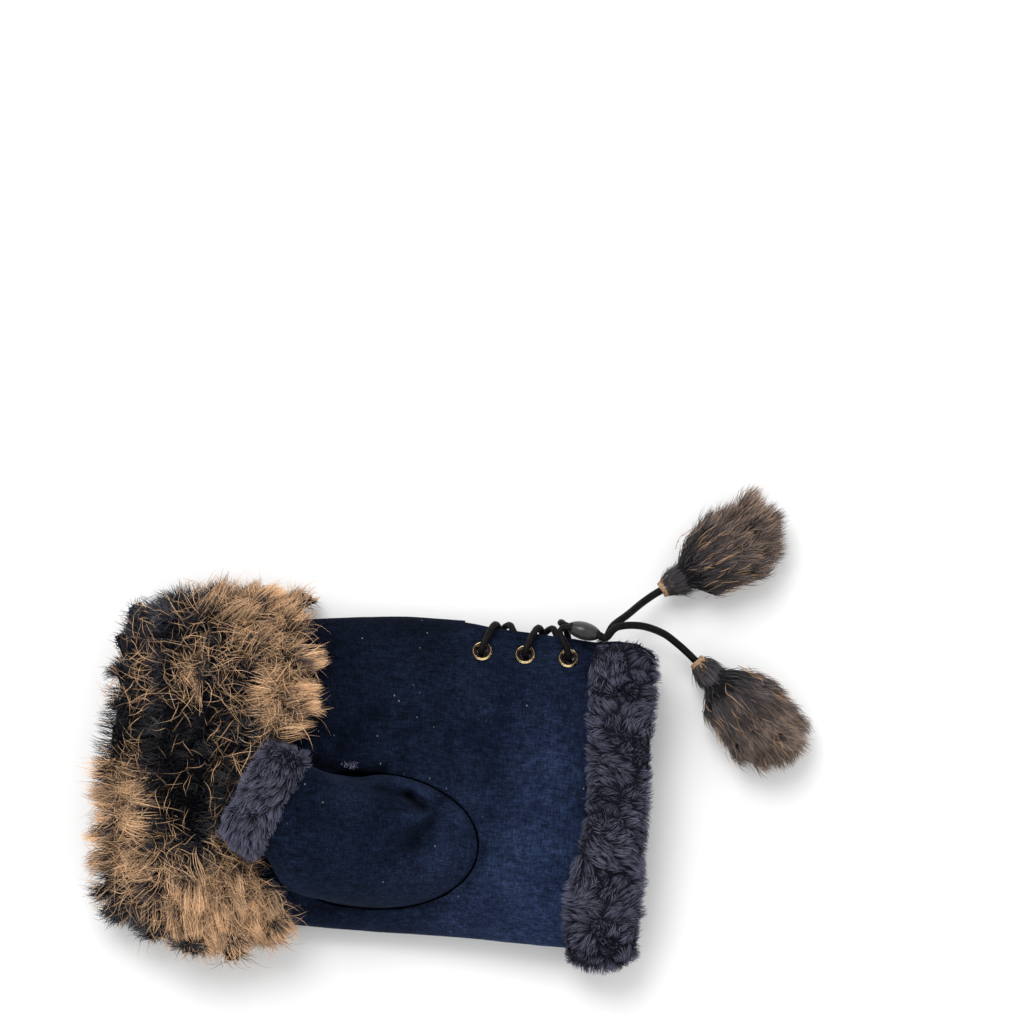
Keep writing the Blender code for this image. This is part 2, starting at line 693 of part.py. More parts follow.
def slit_stops(x, lead, palm_outside):
    """Where the lace crosses the slit: over the outer flap's edge, in the gap and under the other flap."""
    edge = body_point(x, 0.0)
    over = body_point(x - lead, 0.06 if palm_outside else 0.94, LACE / 2 + SEAM_GAP * 2)
    over.y = max(over.y, edge.y - EYELET_METAL)
    gap = Vector((x, edge.y - LACE * 0.7, edge.z))
    rise = LACE * (-0.08 if palm_outside else 0.50)
    under = Vector((x + lead, edge.y - LACE * 1.9, edge.z + rise))
    return [over, gap, under]


def lace_route():
    """The lace from the bead's upper bore through the six eyelets and back to its lower bore."""
    stops = {name: eyelet_stops(point, direction) for name, point, direction in eyelet_places()}
    lead = EYELET_PITCH * 0.12
    half_way = EYELET_PITCH / 2
    aside = LACE * 0.90

    def eyelet(panel, number, outwards):
        inner, middle, outer = stops[f"eyelet_{panel}_{number}"]
        return [inner, middle, outer] if outwards else [outer, middle, inner]

    middle, axis = bead_place(), bead_axis()
    enter = middle - axis * BEAD_LENGTH * 0.5
    leave = middle + axis * (BEAD_LENGTH * 0.5 - LACE * 0.5)
    route = [leave + Vector((0, 0, bore_height(True))), enter + Vector((0, 0, bore_height(True)))]
    route += reversed(palm_tail(stops["eyelet_palm_3"][2], enter))
    route += eyelet("palm", 3, False)
    cross = eyelet_x(2) + half_way
    route += list(reversed(slit_stops(cross + aside, lead, False)))
    route += eyelet("back", 2, False)
    cross = eyelet_x(1) + half_way
    route += list(reversed(slit_stops(cross - aside, lead, True)))
    route += eyelet("palm", 1, False)
    route += eyelet("back", 1, True)
    route += slit_stops(cross + aside, lead, False)
    route += eyelet("palm", 2, True)
    cross = eyelet_x(2) + half_way
    route += slit_stops(cross - aside, lead, True)
    route += eyelet("back", 3, True)
    route += back_tail()
    route += [enter + Vector((0, 0, bore_height(False))), leave + Vector((0, 0, bore_height(False)))]
    return [Vector((p.x, p.y, max(p.z, LACE / 2 + SEAM_GAP))) for p in route]


def palm_tail(start, enter):
    """From the palm's last eyelet up to the bead."""
    return [
        start.lerp(enter, 0.35) + Vector((-LACE * 0.3, 0, LACE * 0.55)),
        start.lerp(enter, 0.75) + Vector((-LACE * 1.1, 0, LACE * 0.30)),
    ]


def back_tail():
    """From the back's last eyelet round the laced edge and up to the bead."""
    x = eyelet_x(EYELET_COUNT)
    edge = body_point(x, 0.0)
    return [
        Vector((x - LACE * 0.2, edge.y - LACE * 1.1, edge.z - BACK_SINK * 0.72)),
        Vector((x - LACE * 0.9, edge.y + LACE * 0.55, edge.z - LACE * 0.2)),
        Vector((x - LACE * 1.4, edge.y + LACE * 0.75, edge.z + PALM_RISE * 0.34)),
    ]


def build_bead(collection, cutters, material):
    """An oval bead with two bores, one above the other, for the two ends of the lace."""
    bm = bmesh.new()
    bmesh.ops.create_uvsphere(bm, u_segments=12, v_segments=8, radius=0.5)
    bmesh.ops.rotate(bm, verts=bm.verts, matrix=Matrix.Rotation(QUARTER, 3, "Y"))
    bmesh.ops.scale(bm, verts=bm.verts, vec=(BEAD_LENGTH, BEAD_WIDTH, BEAD_HEIGHT))
    at = Matrix.Translation(bead_place()) @ Matrix.Rotation(BEAD_ANGLE, 4, "Z")
    bead = place("bead", mesh_of(bm, "bead"), material, collection, at)
    for name, upper in (("bore_upper", True), ("bore_lower", False)):
        bore = bmesh.new()
        add_rod(bore, LACE / 2 + SEAM_GAP, BEAD_LENGTH * 2)
        bmesh.ops.rotate(bore, verts=bore.verts, matrix=Matrix.Rotation(QUARTER, 3, "Y"))
        bmesh.ops.translate(bore, verts=bore.verts, vec=(0, 0, bore_height(upper)))
        cut(bead, place(name, mesh_of(bore, name), None, cutters, at))
    return bead


def strand_points(route, upper):
    """A free end's own points, from inside the bead's bore to its pompom."""
    in_bore = bead_place() + Vector((0, 0, bore_height(upper)))
    start = in_bore + bead_axis() * (BEAD_LENGTH * 0.5 - LACE * 0.3)
    return [start, start + bead_axis() * LACE] + [Vector(p) for p in route]


def pompom_place(points):
    """Where a pompom is: its own X runs on from the cord's end, along the surface."""
    way = points[-1] - points[-2]
    return Matrix.Translation(points[-1]) @ Matrix.Rotation(math.atan2(way.y, way.x), 4, "Z")


def build_skin(collection, material, name, at):
    """The rolled skin at a pompom's neck: a short cone with the cord's end in it, turned."""
    start = -CORD_IN_SKIN
    profile = (
        (SKIN_NECK, start),
        (SKIN_MOUTH, start + SKIN_LENGTH),
        (SKIN_MOUTH - SKIN_WALL, start + SKIN_LENGTH),
        (LACE / 2 + SEAM_GAP, start + SKIN_LENGTH * 0.5),
        (LACE / 2 + SEAM_GAP, start),
    )
    bm = closed_profile([(x, r, 0) for r, x in profile])
    return turn_profile(bm, name, "X", material, collection, at)


def build_pompom(collection, material, name, at):
    """A pompom: a drop of fur that widens from its neck, with locks that stream back from it."""
    bm = bmesh.new()
    bmesh.ops.create_uvsphere(bm, u_segments=POMPOM_STEPS, v_segments=POMPOM_RINGS, radius=1.0)
    start = SKIN_LENGTH - CORD_IN_SKIN + SEAM_GAP
    neck = SKIN_MOUTH * 0.9
    for v in bm.verts:
        share = (1 - v.co.z) / 2
        aside = v.co.xy
        full = neck + (POMPOM_WIDTH / 2 - neck) * math.sin(QUARTER * min(1.0, share * 1.5))
        width = full * min(1.0, aside.length * 1.7 if share < 0.5 else aside.length * 1.15)
        aim = aside.normalized() * width if aside.length > SEAM_GAP else Vector((0, 0))
        sunk = (start - SEAM_GAP) * (1 - share) ** 6
        v.co = Vector((start + share * POMPOM_LENGTH - sunk, aim.x, aim.y))
    bmesh.ops.recalc_face_normals(bm, faces=bm.faces)
    faces = [f for f in bm.faces if f.calc_center_median().x > start + POMPOM_LENGTH * 0.16]
    bottom = -at.translation.z

    def tip_of(face):
        middle = face.calc_center_median()
        share = (middle.x - start) / POMPOM_LENGTH
        ragged = 0.85 + 0.15 * math.sin(5 * share * math.pi + 9 * math.atan2(middle.z, middle.y))
        tip = face.normal * POMPOM_PILE * 0.75 * ragged + Vector((POMPOM_PILE * (0.25 + 0.4 * share), 0, 0))
        low = middle.z + tip.z
        if low < bottom:
            tip.z += bottom - low
        return tip

    raise_locks(bm, faces, tip_of, POMPOM_LOCK)
    for v in bm.verts:
        v.co.z = max(v.co.z, bottom)
    return place(name, mesh_of(bm, name), material, collection, at)


def main():
    for old in list(bpy.data.objects):
        bpy.data.objects.remove(old)
    glove = bpy.data.collections.new("fingerless_glove")
    cutters = bpy.data.collections.new("cutters")
    bpy.context.scene.collection.children.link(glove)
    bpy.context.scene.collection.children.link(cutters)

    suede = make_material("navy_suede", (0.018, 0.030, 0.065), 0.95)
    plush = make_material("grey_plush", (0.105, 0.105, 0.150), 0.95)
    fur = make_material("tan_and_black_fur", (0.20, 0.14, 0.085), 0.90)
    dark_fur = make_material("grey_brown_fur", (0.085, 0.070, 0.070), 0.90)
    brass = make_material("aged_brass", (0.60, 0.42, 0.20), 0.35, 1.0)
    waxed = make_material("black_waxed_cord", (0.020, 0.018, 0.020), 0.60)
    grey = make_material("grey_bead", (0.110, 0.105, 0.105), 0.45)
    hide = make_material("tan_skin", (0.62, 0.42, 0.26), 0.75)

    build_shell(glove, cutters, suede)
    build_thumb(glove, suede)
    build_thumb_plush(glove, plush)
    build_wrist_plush(glove, plush)
    build_fur_cuff(glove, fur)
    for name, point, direction in eyelet_places():
        build_eyelet(glove, brass, name, point, direction)
    build_cord(glove, waxed, "lace", smooth_route(lace_route(), 2))
    build_bead(glove, cutters, grey)
    for letter, route, upper in (("a", STRAND_A, False), ("b", STRAND_B, True)):
        points = strand_points(route, upper)
        build_cord(glove, waxed, "strand_" + letter, smooth_route(points, 3))
        at = pompom_place(points)
        build_skin(glove, hide, "skin_" + letter, at)
        build_pompom(glove, dark_fur, "pompom_" + letter, at)


main()
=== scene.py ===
"""A suede fingerless glove lying palm up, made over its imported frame.

X runs from the fingers (-) to the wrist (+), Y from the thumb's edge (-) to the laced edge (+), Z up.
Lengths are in metres.
"""

import math

import bmesh
import bpy
import numpy as np
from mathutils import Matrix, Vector, kdtree
from mathutils.bvhtree import BVHTree


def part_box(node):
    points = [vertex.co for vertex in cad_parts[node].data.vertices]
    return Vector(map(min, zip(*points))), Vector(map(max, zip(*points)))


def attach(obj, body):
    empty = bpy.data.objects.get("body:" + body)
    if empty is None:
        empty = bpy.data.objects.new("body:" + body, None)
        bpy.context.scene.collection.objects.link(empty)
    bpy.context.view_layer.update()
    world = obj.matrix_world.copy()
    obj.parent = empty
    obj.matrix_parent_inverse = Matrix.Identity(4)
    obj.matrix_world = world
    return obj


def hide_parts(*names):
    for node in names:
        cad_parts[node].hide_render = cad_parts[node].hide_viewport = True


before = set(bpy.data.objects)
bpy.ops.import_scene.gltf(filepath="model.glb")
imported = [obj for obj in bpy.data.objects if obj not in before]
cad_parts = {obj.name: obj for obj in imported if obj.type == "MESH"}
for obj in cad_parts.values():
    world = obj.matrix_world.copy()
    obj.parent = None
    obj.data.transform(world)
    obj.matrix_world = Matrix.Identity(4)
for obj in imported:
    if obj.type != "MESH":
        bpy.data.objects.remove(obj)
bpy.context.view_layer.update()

# The camera hangs straight above the middle of the picture, turned so that the glove lies 4 degrees
# askew, as in the photograph. It is a long lens, far away.
PICTURE_WIDTH = 0.379
PICTURE_MIDDLE = (0.0344, 0.1018)
PICTURE_TURN = math.radians(4)
LENS = 180
SENSOR = 36
GLOVE_LEVEL = 0.018

bpy.ops.object.camera_add(
    location=(*PICTURE_MIDDLE, GLOVE_LEVEL + PICTURE_WIDTH * LENS / SENSOR), rotation=(0, 0, PICTURE_TURN)
)
camera = bpy.context.object
camera.data.lens = LENS
camera.data.sensor_width = SENSOR
bpy.context.scene.camera = camera


# The body: navy suede sewn into a tube and turned, over a plush lining on its flesh side. The thumb
# hole, the lacing slit and the eyelet holes are cut through both.
CUT_EDGE = math.radians(52)
MERGE = 0.00001
SUEDE_DARK = (0.0022, 0.0044, 0.0125)
SUEDE_LIGHT = (0.0118, 0.0192, 0.0440)
SUEDE_SHEEN = (0.35, 0.45, 0.75)
LINT = (0.45, 0.45, 0.48)
LINING_DARK = (0.016, 0.017, 0.028)
LINING_LIGHT = (0.055, 0.056, 0.085)
SUEDE_WAVE = 0.00035
SUEDE_WAVE_SIZE = 0.011
HOLLOW_REACH = 0.15
MOTTLE_SCALE = 38
STROKE_DEPTH = 0.0006
NAP_DEPTH = 0.00025

# The grains that lie over each other in the suede: brush strokes, nap, warp and weft. Each darkens and
# lightens the colour between its two tones.
SUEDE_GRAINS = {
    "strokes": {"turn": 35, "squeeze": (1, 2.2, 1), "scale": 240, "detail": 5, "rough": 0.72,
                "tones": ((0.32, 0.60), (0.68, 1.44))},
    "nap": {"turn": 0, "squeeze": (1, 1, 1), "scale": 1700, "detail": 3, "rough": 0.75,
            "tones": ((0.32, 0.55), (0.68, 1.46))},
    "warp": {"turn": 2, "squeeze": (0.22, 1, 1), "scale": 1500, "detail": 2, "rough": 0.6,
             "tones": ((0.32, 0.66), (0.68, 1.36))},
    "weft": {"turn": 2, "squeeze": (1, 0.22, 1), "scale": 1500, "detail": 2, "rough": 0.6,
             "tones": ((0.32, 0.66), (0.68, 1.36))},
}

# Painted light and shade on the suede, along and across the glove, and painted shade in its folds.
SHADE_ALONG_FROM, SHADE_ALONG_TO = -0.045, 0.070
ALONG_PAINTED_SHADES = ((0.0, 0.45), (0.5, 0.64), (0.85, 1.35), (1.0, 1.05))
SHADE_ACROSS_FROM, SHADE_ACROSS_TO = -0.060, 0.060
ACROSS_PAINTED_SHADES = ((0.0, 1.60), (0.5, 1.08), (1.0, 0.55))
FOLD_HIGHLIGHT_END, FOLD_SHADE_END = -0.5, 1.0
FOLD_PAINTED_SHADES = ((0.0, 1.9), (1 / 3, 1.0), (1.0, 0.10))

# Specks of lint on the nap: cells to the metre, the turn and stretch of the cells, how large a speck is
# in its cell, and in which share of the cells one lies.
SPECK_SCALE = 300
SPECK_TURN = 50
SPECK_STRETCH = (1, 0.6, 1)
SPECK_SIZE = ((0.03, (0.42, 0.42, 0.42)), (0.085, (0, 0, 0)))
SPECK_SHARE = ((0.66, (0, 0, 0)), (0.72, (1, 1, 1)))


def only(thing):
    """Makes this the one selected and active object."""
    bpy.ops.object.select_all(action="DESELECT")
    thing.select_set(True)
    bpy.context.view_layer.objects.active = thing


def finer(node, name, levels):
    """A rounder copy of a solid of the frame, with its cut edges kept crisp."""
    piece = bpy.data.objects.new(name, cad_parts[node].data.copy())
    bpy.context.scene.collection.objects.link(piece)
    piece.data.materials.clear()
    only(piece)
    bpy.ops.mesh.customdata_custom_splitnormals_clear()
    bpy.ops.object.mode_set(mode="EDIT")
    bpy.ops.mesh.select_mode(type="EDGE")
    bpy.ops.mesh.select_all(action="SELECT")
    bpy.ops.mesh.remove_doubles(threshold=MERGE)
    bpy.ops.mesh.tris_convert_to_quads(face_threshold=math.radians(40), shape_threshold=math.radians(70))
    bpy.ops.mesh.select_all(action="DESELECT")
    bpy.ops.mesh.edges_select_sharp(sharpness=CUT_EDGE)
    bpy.ops.transform.edge_crease(value=1)
    bpy.ops.mesh.select_all(action="SELECT")
    bpy.ops.mesh.mark_sharp(clear=True)
    bpy.ops.object.mode_set(mode="OBJECT")
    if levels:
        rounder = piece.modifiers.new("rounder", "SUBSURF")
        rounder.levels = rounder.render_levels = levels
        bpy.ops.object.modifier_apply(modifier=rounder.name)
    bpy.ops.object.shade_smooth()
    return piece


def ripple(piece, size, depth, depth_in=0.5):
    """Raises and sinks a surface in soft waves of this size."""
    only(piece)
    waves = bpy.data.textures.new(piece.name + "_waves", "CLOUDS")
    waves.noise_scale = size
    waves.noise_depth = 2
    raised = piece.modifiers.new("ripple", "DISPLACE")
    raised.texture = waves
    raised.texture_coords = "LOCAL"
    raised.strength = depth
    raised.mid_level = depth_in
    bpy.ops.object.modifier_apply(modifier=raised.name)


def new_finish(name, roughness):
    """A material and its shader, with the object's own coordinates to hang patterns on."""
    material = bpy.data.materials.new(name)
    material.use_nodes = True
    nodes = material.node_tree.nodes
    shader = nodes["Principled BSDF"]
    shader.inputs["Roughness"].default_value = roughness
    where = nodes.new("ShaderNodeTexCoord")
    return material, shader, where.outputs["Object"]


def noise_on(material, where, scale, detail=3.0, roughness=0.6):
    """A soft pattern, with about this many patches to the metre."""
    noise = material.node_tree.nodes.new("ShaderNodeTexNoise")
    noise.inputs["Scale"].default_value = scale
    noise.inputs["Detail"].default_value = detail
    noise.inputs["Roughness"].default_value = roughness
    material.node_tree.links.new(where, noise.inputs["Vector"])
    return noise.outputs["Fac"]


def ramp_on(material, amount, stops):
    """Colours or greys along an amount, as (place, colour) pairs."""
    ramp = material.node_tree.nodes.new("ShaderNodeValToRGB")
    while len(ramp.color_ramp.elements) < len(stops):
        ramp.color_ramp.elements.new(0.5)
    for element, (place, colour) in zip(ramp.color_ramp.elements, stops):
        element.position = place
        element.color = (*colour, 1)
    material.node_tree.links.new(amount, ramp.inputs["Fac"])
    return ramp.outputs["Color"]


def mix_on(material, amount, first, second, kind="MIX"):
    """Two colours mixed by an amount, which is a number or a pattern."""
    mix = material.node_tree.nodes.new("ShaderNodeMix")
    mix.data_type = "RGBA"
    mix.blend_type = kind
    for place, value in (("Factor", amount), ("A", first), ("B", second)):
        socket = mix.inputs[place]
        if isinstance(value, bpy.types.NodeSocket):
            material.node_tree.links.new(value, socket)
        elif isinstance(value, tuple):
            socket.default_value = (*value, 1)
        else:
            socket.default_value = value
    return mix.outputs["Result"]


def bump_on(material, shader, height, depth, strength=1.0, under=None):
    """Raises the shading by a height pattern, over another bump if there is one."""
    bump = material.node_tree.nodes.new("ShaderNodeBump")
    bump.inputs["Distance"].default_value = depth
    bump.inputs["Strength"].default_value = strength
    material.node_tree.links.new(height, bump.inputs["Height"])
    if under:
        material.node_tree.links.new(under, bump.inputs["Normal"])
    material.node_tree.links.new(bump.outputs["Normal"], shader.inputs["Normal"])
    return bump.outputs["Normal"]


def stretched(material, where, turn, scale):
    """The same coordinates, turned and squeezed, so that a pattern on them runs out in streaks."""
    mapping = material.node_tree.nodes.new("ShaderNodeMapping")
    mapping.inputs["Rotation"].default_value = (0, 0, math.radians(turn))
    mapping.inputs["Scale"].default_value = scale
    material.node_tree.links.new(where, mapping.inputs["Vector"])
    return mapping.outputs["Vector"]


def span_on(material, value, low, high):
    """How far a value lies between two ends, from 0 to 1."""
    share = material.node_tree.nodes.new("ShaderNodeMapRange")
    share.inputs["From Min"].default_value = low
    share.inputs["From Max"].default_value = high
    material.node_tree.links.new(value, share.inputs["Value"])
    return share.outputs["Result"]


def tone_on(material, colour, amount, tones):
    """A colour made darker or lighter along an amount, as (place, share) pairs."""
    shades = ramp_on(material, amount, [(place, (share,) * 3) for place, share in tones])
    return mix_on(material, 1.0, colour, shades, "MULTIPLY")


def make_suede():
    """Napped suede: mottled, brushed and woven through, specked with lint, with painted light and shade
    along and across it and in its folds.
    """
    material, shader, where = new_finish("navy_suede", 0.95)
    nodes, links = material.node_tree.nodes, material.node_tree.links
    mottle = noise_on(material, where, MOTTLE_SCALE, 5, 0.65)
    colour = ramp_on(material, mottle, ((0.27, SUEDE_DARK), (0.76, SUEDE_LIGHT)))
    grains = {}
    for name, grain in SUEDE_GRAINS.items():
        lie = stretched(material, where, grain["turn"], grain["squeeze"])
        grains[name] = noise_on(material, lie, grain["scale"], grain["detail"], grain["rough"])
        colour = tone_on(material, colour, grains[name], grain["tones"])
    # Painted light and shade: the suede is made darker or paler by where it lies along and across the
    # glove.
    place = nodes.new("ShaderNodeSeparateXYZ")
    links.new(where, place.inputs["Vector"])
    along = span_on(material, place.outputs["X"], SHADE_ALONG_FROM, SHADE_ALONG_TO)
    colour = tone_on(material, colour, along, ALONG_PAINTED_SHADES)
    across = span_on(material, place.outputs["Y"], SHADE_ACROSS_FROM, SHADE_ACROSS_TO)
    colour = tone_on(material, colour, across, ACROSS_PAINTED_SHADES)
    # Painted shade in the furrows and painted highlights on the swells, from the attribute that the furrows
    # leave.
    fold_shade = nodes.new("ShaderNodeAttribute")
    fold_shade.attribute_name = "fold_shade"
    shaded_folds = span_on(material, fold_shade.outputs["Fac"], FOLD_HIGHLIGHT_END, FOLD_SHADE_END)
    colour = tone_on(material, colour, shaded_folds, FOLD_PAINTED_SHADES)
    specks = nodes.new("ShaderNodeTexVoronoi")
    specks.inputs["Scale"].default_value = SPECK_SCALE
    links.new(stretched(material, where, SPECK_TURN, SPECK_STRETCH), specks.inputs["Vector"])
    near = ramp_on(material, specks.outputs["Distance"], SPECK_SIZE)
    some = ramp_on(material, specks.outputs["Color"], SPECK_SHARE)
    amount = mix_on(material, 1.0, near, some, "MULTIPLY")
    links.new(mix_on(material, amount, colour, LINT), shader.inputs["Base Color"])
    soft = bump_on(material, shader, grains["strokes"], STROKE_DEPTH, 0.6)
    bump_on(material, shader, grains["nap"], NAP_DEPTH, 0.8, soft)
    shader.inputs["Sheen Weight"].default_value = 0.05
    shader.inputs["Sheen Roughness"].default_value = 0.45
    shader.inputs["Sheen Tint"].default_value = (*SUEDE_SHEEN, 1)
    shader.inputs["Specular IOR Level"].default_value = 0.04
    return material


def make_lining():
    """The ground of the lining's plush, in dark clumps."""
    material, shader, where = new_finish("lining_plush", 1.0)
    clumps = noise_on(material, where, 420, 4, 0.7)
    colour = ramp_on(material, clumps, ((0.30, LINING_DARK), (0.75, LINING_LIGHT)))
    material.node_tree.links.new(colour, shader.inputs["Base Color"])
    bump_on(material, shader, clumps, 0.0015)
    shader.inputs["Specular IOR Level"].default_value = 0.1
    return material


def line_inside(piece, lining):
    """Gives the faces that look into the hollow the lining's finish."""
    piece.data.materials.append(lining)
    centres = [p.center.copy() for p in piece.data.polygons]
    normals = [p.normal.copy() for p in piece.data.polygons]
    corners = [v.co.copy() for v in piece.data.vertices]
    wall = BVHTree.FromPolygons(corners, [list(p.vertices) for p in piece.data.polygons])
    for face, centre, normal in zip(piece.data.polygons, centres, normals):
        hit = wall.ray_cast(centre + normal * MERGE * 20, normal, HOLLOW_REACH)[0]
        face.material_index = 1 if hit else 0


suede = make_suede()
lining = make_lining()

# Round the thumb the suede is drawn down towards its seam, most of all on the side of the fingers, with
# painted shade in these furrows and a painted shadow under the thumb's upper edge. Each furrow runs
# straight in plan;
# a depth below nothing is a swell, and a shade below nothing is a painted highlight.
BODY_TOP = 0.016
BODY_CREASES = (
    {"from": (-0.0340, 0.0050), "to": (-0.0180, 0.0012), "width": 0.0035, "depth": 0.0010, "shade": 0.95},
    {"from": (-0.0180, 0.0012), "to": (-0.0060, 0.0042), "width": 0.0028, "depth": 0.0008, "shade": 0.80},
    {"from": (0.0240, -0.0090), "to": (0.0330, -0.0240), "width": 0.0030, "depth": 0.0006, "shade": 0.25},
    {"from": (0.0330, -0.0240), "to": (0.0270, -0.0400), "width": 0.0030, "depth": 0.0006, "shade": 0.35},
    {"from": (0.0200, -0.0440), "to": (-0.0300, -0.0500), "width": 0.0022, "depth": 0.0004, "shade": 0.45},
)


def crease(piece, creases, lowest):
    """Sinks soft furrows into the top of a piece, each along a straight line in plan, and paints shade into
    them, or a highlight where the shade is below nothing.
    """
    fold_shade = piece.data.attributes.new("fold_shade", "FLOAT", "POINT")
    for vertex, shadow in zip(piece.data.vertices, fold_shade.data):
        if vertex.co.z < lowest:
            continue
        spot = vertex.co.xy
        drop = 0
        for line in creases:
            start, stop = Vector(line["from"]), Vector(line["to"])
            share = min(max((spot - start).dot(stop - start) / (stop - start).length_squared, 0), 1)
            away = (spot - start.lerp(stop, share)).length / line["width"]
            drop += line["depth"] * math.exp(-away * away)
            shadow.value += line["shade"] * math.exp(-away * away * 2)
        vertex.co.z -= drop


body = finer("suede_shell", "suede_body", 2)
body.data.materials.append(suede)
line_inside(body, lining)
ripple(body, SUEDE_WAVE_SIZE, SUEDE_WAVE)
crease(body, BODY_CREASES, BODY_TOP)
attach(body, "root")
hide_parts("suede_shell")


# The thumb: one piece of the same suede, gathered round and sewn into the thumb hole from inside, so
# that its seam shows as a narrow dark groove. Where the suede is drawn in, it has a dimple and a long
# crease with painted shade in them, and swells between them with painted highlights.
THUMB_TOP = 0.020
THUMB_CREASES = (
    {"from": (-0.0070, -0.0030), "to": (0.0040, -0.0052), "width": 0.0022, "depth": 0.0026, "shade": 0.60},
    {"from": (0.0040, -0.0055), "to": (0.0092, -0.0088), "width": 0.0025, "depth": 0.0036, "shade": 0.95},
    {"from": (0.0160, -0.0065), "to": (0.0122, -0.0150), "width": 0.0036, "depth": 0.0022, "shade": 0.40},
    {"from": (0.0122, -0.0150), "to": (0.0072, -0.0220), "width": 0.0040, "depth": 0.0024, "shade": 0.50},
    {"from": (0.0072, -0.0220), "to": (-0.0030, -0.0290), "width": 0.0050, "depth": 0.0014, "shade": 0.25},
    {"from": (0.0030, -0.0125), "to": (0.0095, -0.0128), "width": 0.0042, "depth": -0.0012, "shade": -0.45},
    {"from": (-0.0010, 0.0010), "to": (0.0120, -0.0040), "width": 0.0030, "depth": -0.0010, "shade": -0.45},
    {"from": (0.0190, -0.0140), "to": (0.0150, -0.0300), "width": 0.0070, "depth": 0.0, "shade": -0.15},
    {"from": (-0.0300, -0.0120), "to": (-0.0180, -0.0200), "width": 0.0070, "depth": 0.0012, "shade": 0.15},
)

# The upper edge of the thumb is drawn in beside the dimple and stands out towards the plush. Its foot,
# in the hole, stays where it is.
THUMB_EDGE = (
    {"x": -0.0160, "reach": 0.0070, "shift": -0.0019},
    {"x": -0.0350, "reach": 0.0090, "shift": 0.0022},
)
THUMB_EDGE_FROM = -0.014
THUMB_EDGE_FADE = 0.010
THUMB_EDGE_FOOT = 0.019
THUMB_EDGE_RISE = 0.004

thumb = finer("thumb_stall", "thumb", 3)
thumb.data.materials.append(suede)
line_inside(thumb, lining)
ripple(thumb, SUEDE_WAVE_SIZE, SUEDE_WAVE)
for vertex in thumb.data.vertices:
    near = min(max((vertex.co.y - THUMB_EDGE_FROM) / THUMB_EDGE_FADE, 0), 1)
    near *= min(max((vertex.co.z - THUMB_EDGE_FOOT) / THUMB_EDGE_RISE, 0), 1)
    for bend in THUMB_EDGE:
        vertex.co.y += near * bend["shift"] * math.exp(-(((vertex.co.x - bend["x"]) / bend["reach"]) ** 2))
crease(thumb, THUMB_CREASES, THUMB_TOP)
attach(thumb, "root")
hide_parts("thumb_stall")


# The plush roll at the wrist: a strip of grey plush folded over the suede's edge. Its pile lies in
# small tufts, dark at the root and pale at the tip.
PLUSH_ROOT = (0.012, 0.012, 0.021)
PLUSH_TIP = (0.150, 0.152, 0.222)
PLUSH_LENGTH = 0.0046
PLUSH_WIDTH = 0.00022
PLUSH_WANDER = 0.0045
PLUSH_PULL = 0.42
PLUSH_LIGHT = (0.60, 1.30)
TUFT_LIGHT = (0.85, 1.15)
PILE_STEPS = 4
WRIST_HAIRS = 30000
WRIST_TUFTS = 620
WRIST_WAVE = 0.0016
WRIST_WAVE_SIZE = 0.006
HAIR_CLEARANCE = 0.0004
RIBBON_TILT = 0.45
OUTER_LEAST = -0.25


def scatter(piece, count, rng, wanted=None):
    """Points spread evenly over a mesh or its wanted faces, with the outward direction at each."""
    mesh = piece.data
    mesh.calc_loop_triangles()
    corners = np.empty(len(mesh.loop_triangles) * 3, np.int32)
    mesh.loop_triangles.foreach_get("vertices", corners)
    corners = corners.reshape(-1, 3)
    spots = np.empty(len(mesh.vertices) * 3, np.float32)
    mesh.vertices.foreach_get("co", spots)
    spots = spots.reshape(-1, 3).astype(float)
    out = np.empty(len(mesh.vertices) * 3, np.float32)
    mesh.vertices.foreach_get("normal", out)
    out = out.reshape(-1, 3).astype(float)
    a, b, c = (spots[corners[:, k]] for k in range(3))
    area = np.linalg.norm(np.cross(b - a, c - a), axis=1)
    if wanted is not None:
        area = area * np.array([wanted[triangle.polygon_index] for triangle in mesh.loop_triangles])
    chosen = rng.choice(len(area), count, p=area / area.sum())
    u, v = rng.random((2, count, 1))
    over = u + v > 1
    u, v = np.where(over, 1 - u, u), np.where(over, 1 - v, v)
    shares = (1 - u - v, u, v)
    points = sum(share * spots[corners[chosen, k]] for k, share in enumerate(shares))
    normals = sum(share * out[corners[chosen, k]] for k, share in enumerate(shares))
    return points, unit(normals)


def unit(ways):
    """The same directions, each of length one."""
    return ways / (np.linalg.norm(ways, axis=-1, keepdims=True) + 1e-12)


def grow(roots, ways, lay, lengths, steps, wave, turns, rng):
    """Each hair's points: it leaves its root one way, bends over to another and waves on its way."""
    t = np.linspace(0, 1, steps)[None, :, None]
    reach = lengths[:, None, None]
    lines = roots[:, None] + reach * (ways[:, None] * (t - t * t / 2) + lay[:, None] * t * t / 2)
    aside = unit(np.cross(ways, rng.normal(size=ways.shape)))
    other = np.cross(ways, aside)
    phase = rng.uniform(0, 2 * math.pi, (len(roots), 1, 1))
    angle = phase + 2 * math.pi * turns * rng.uniform(0.6, 1.4, phase.shape) * t
    swing = aside[:, None] * (np.sin(angle) - np.sin(phase))
    swing += other[:, None] * (np.cos(angle) - np.cos(phase))
    return lines + swing * reach * wave


def drift(points, size, rng):
    """A way at each point that changes slowly over the surface, as brushed pile does."""
    ways = np.zeros_like(points)
    for _ in range(5):
        waves = rng.normal(0, 1 / size, (3, 3))
        ways += np.sin(points @ waves + rng.uniform(0, 2 * math.pi, 3))
    return ways / 1.6


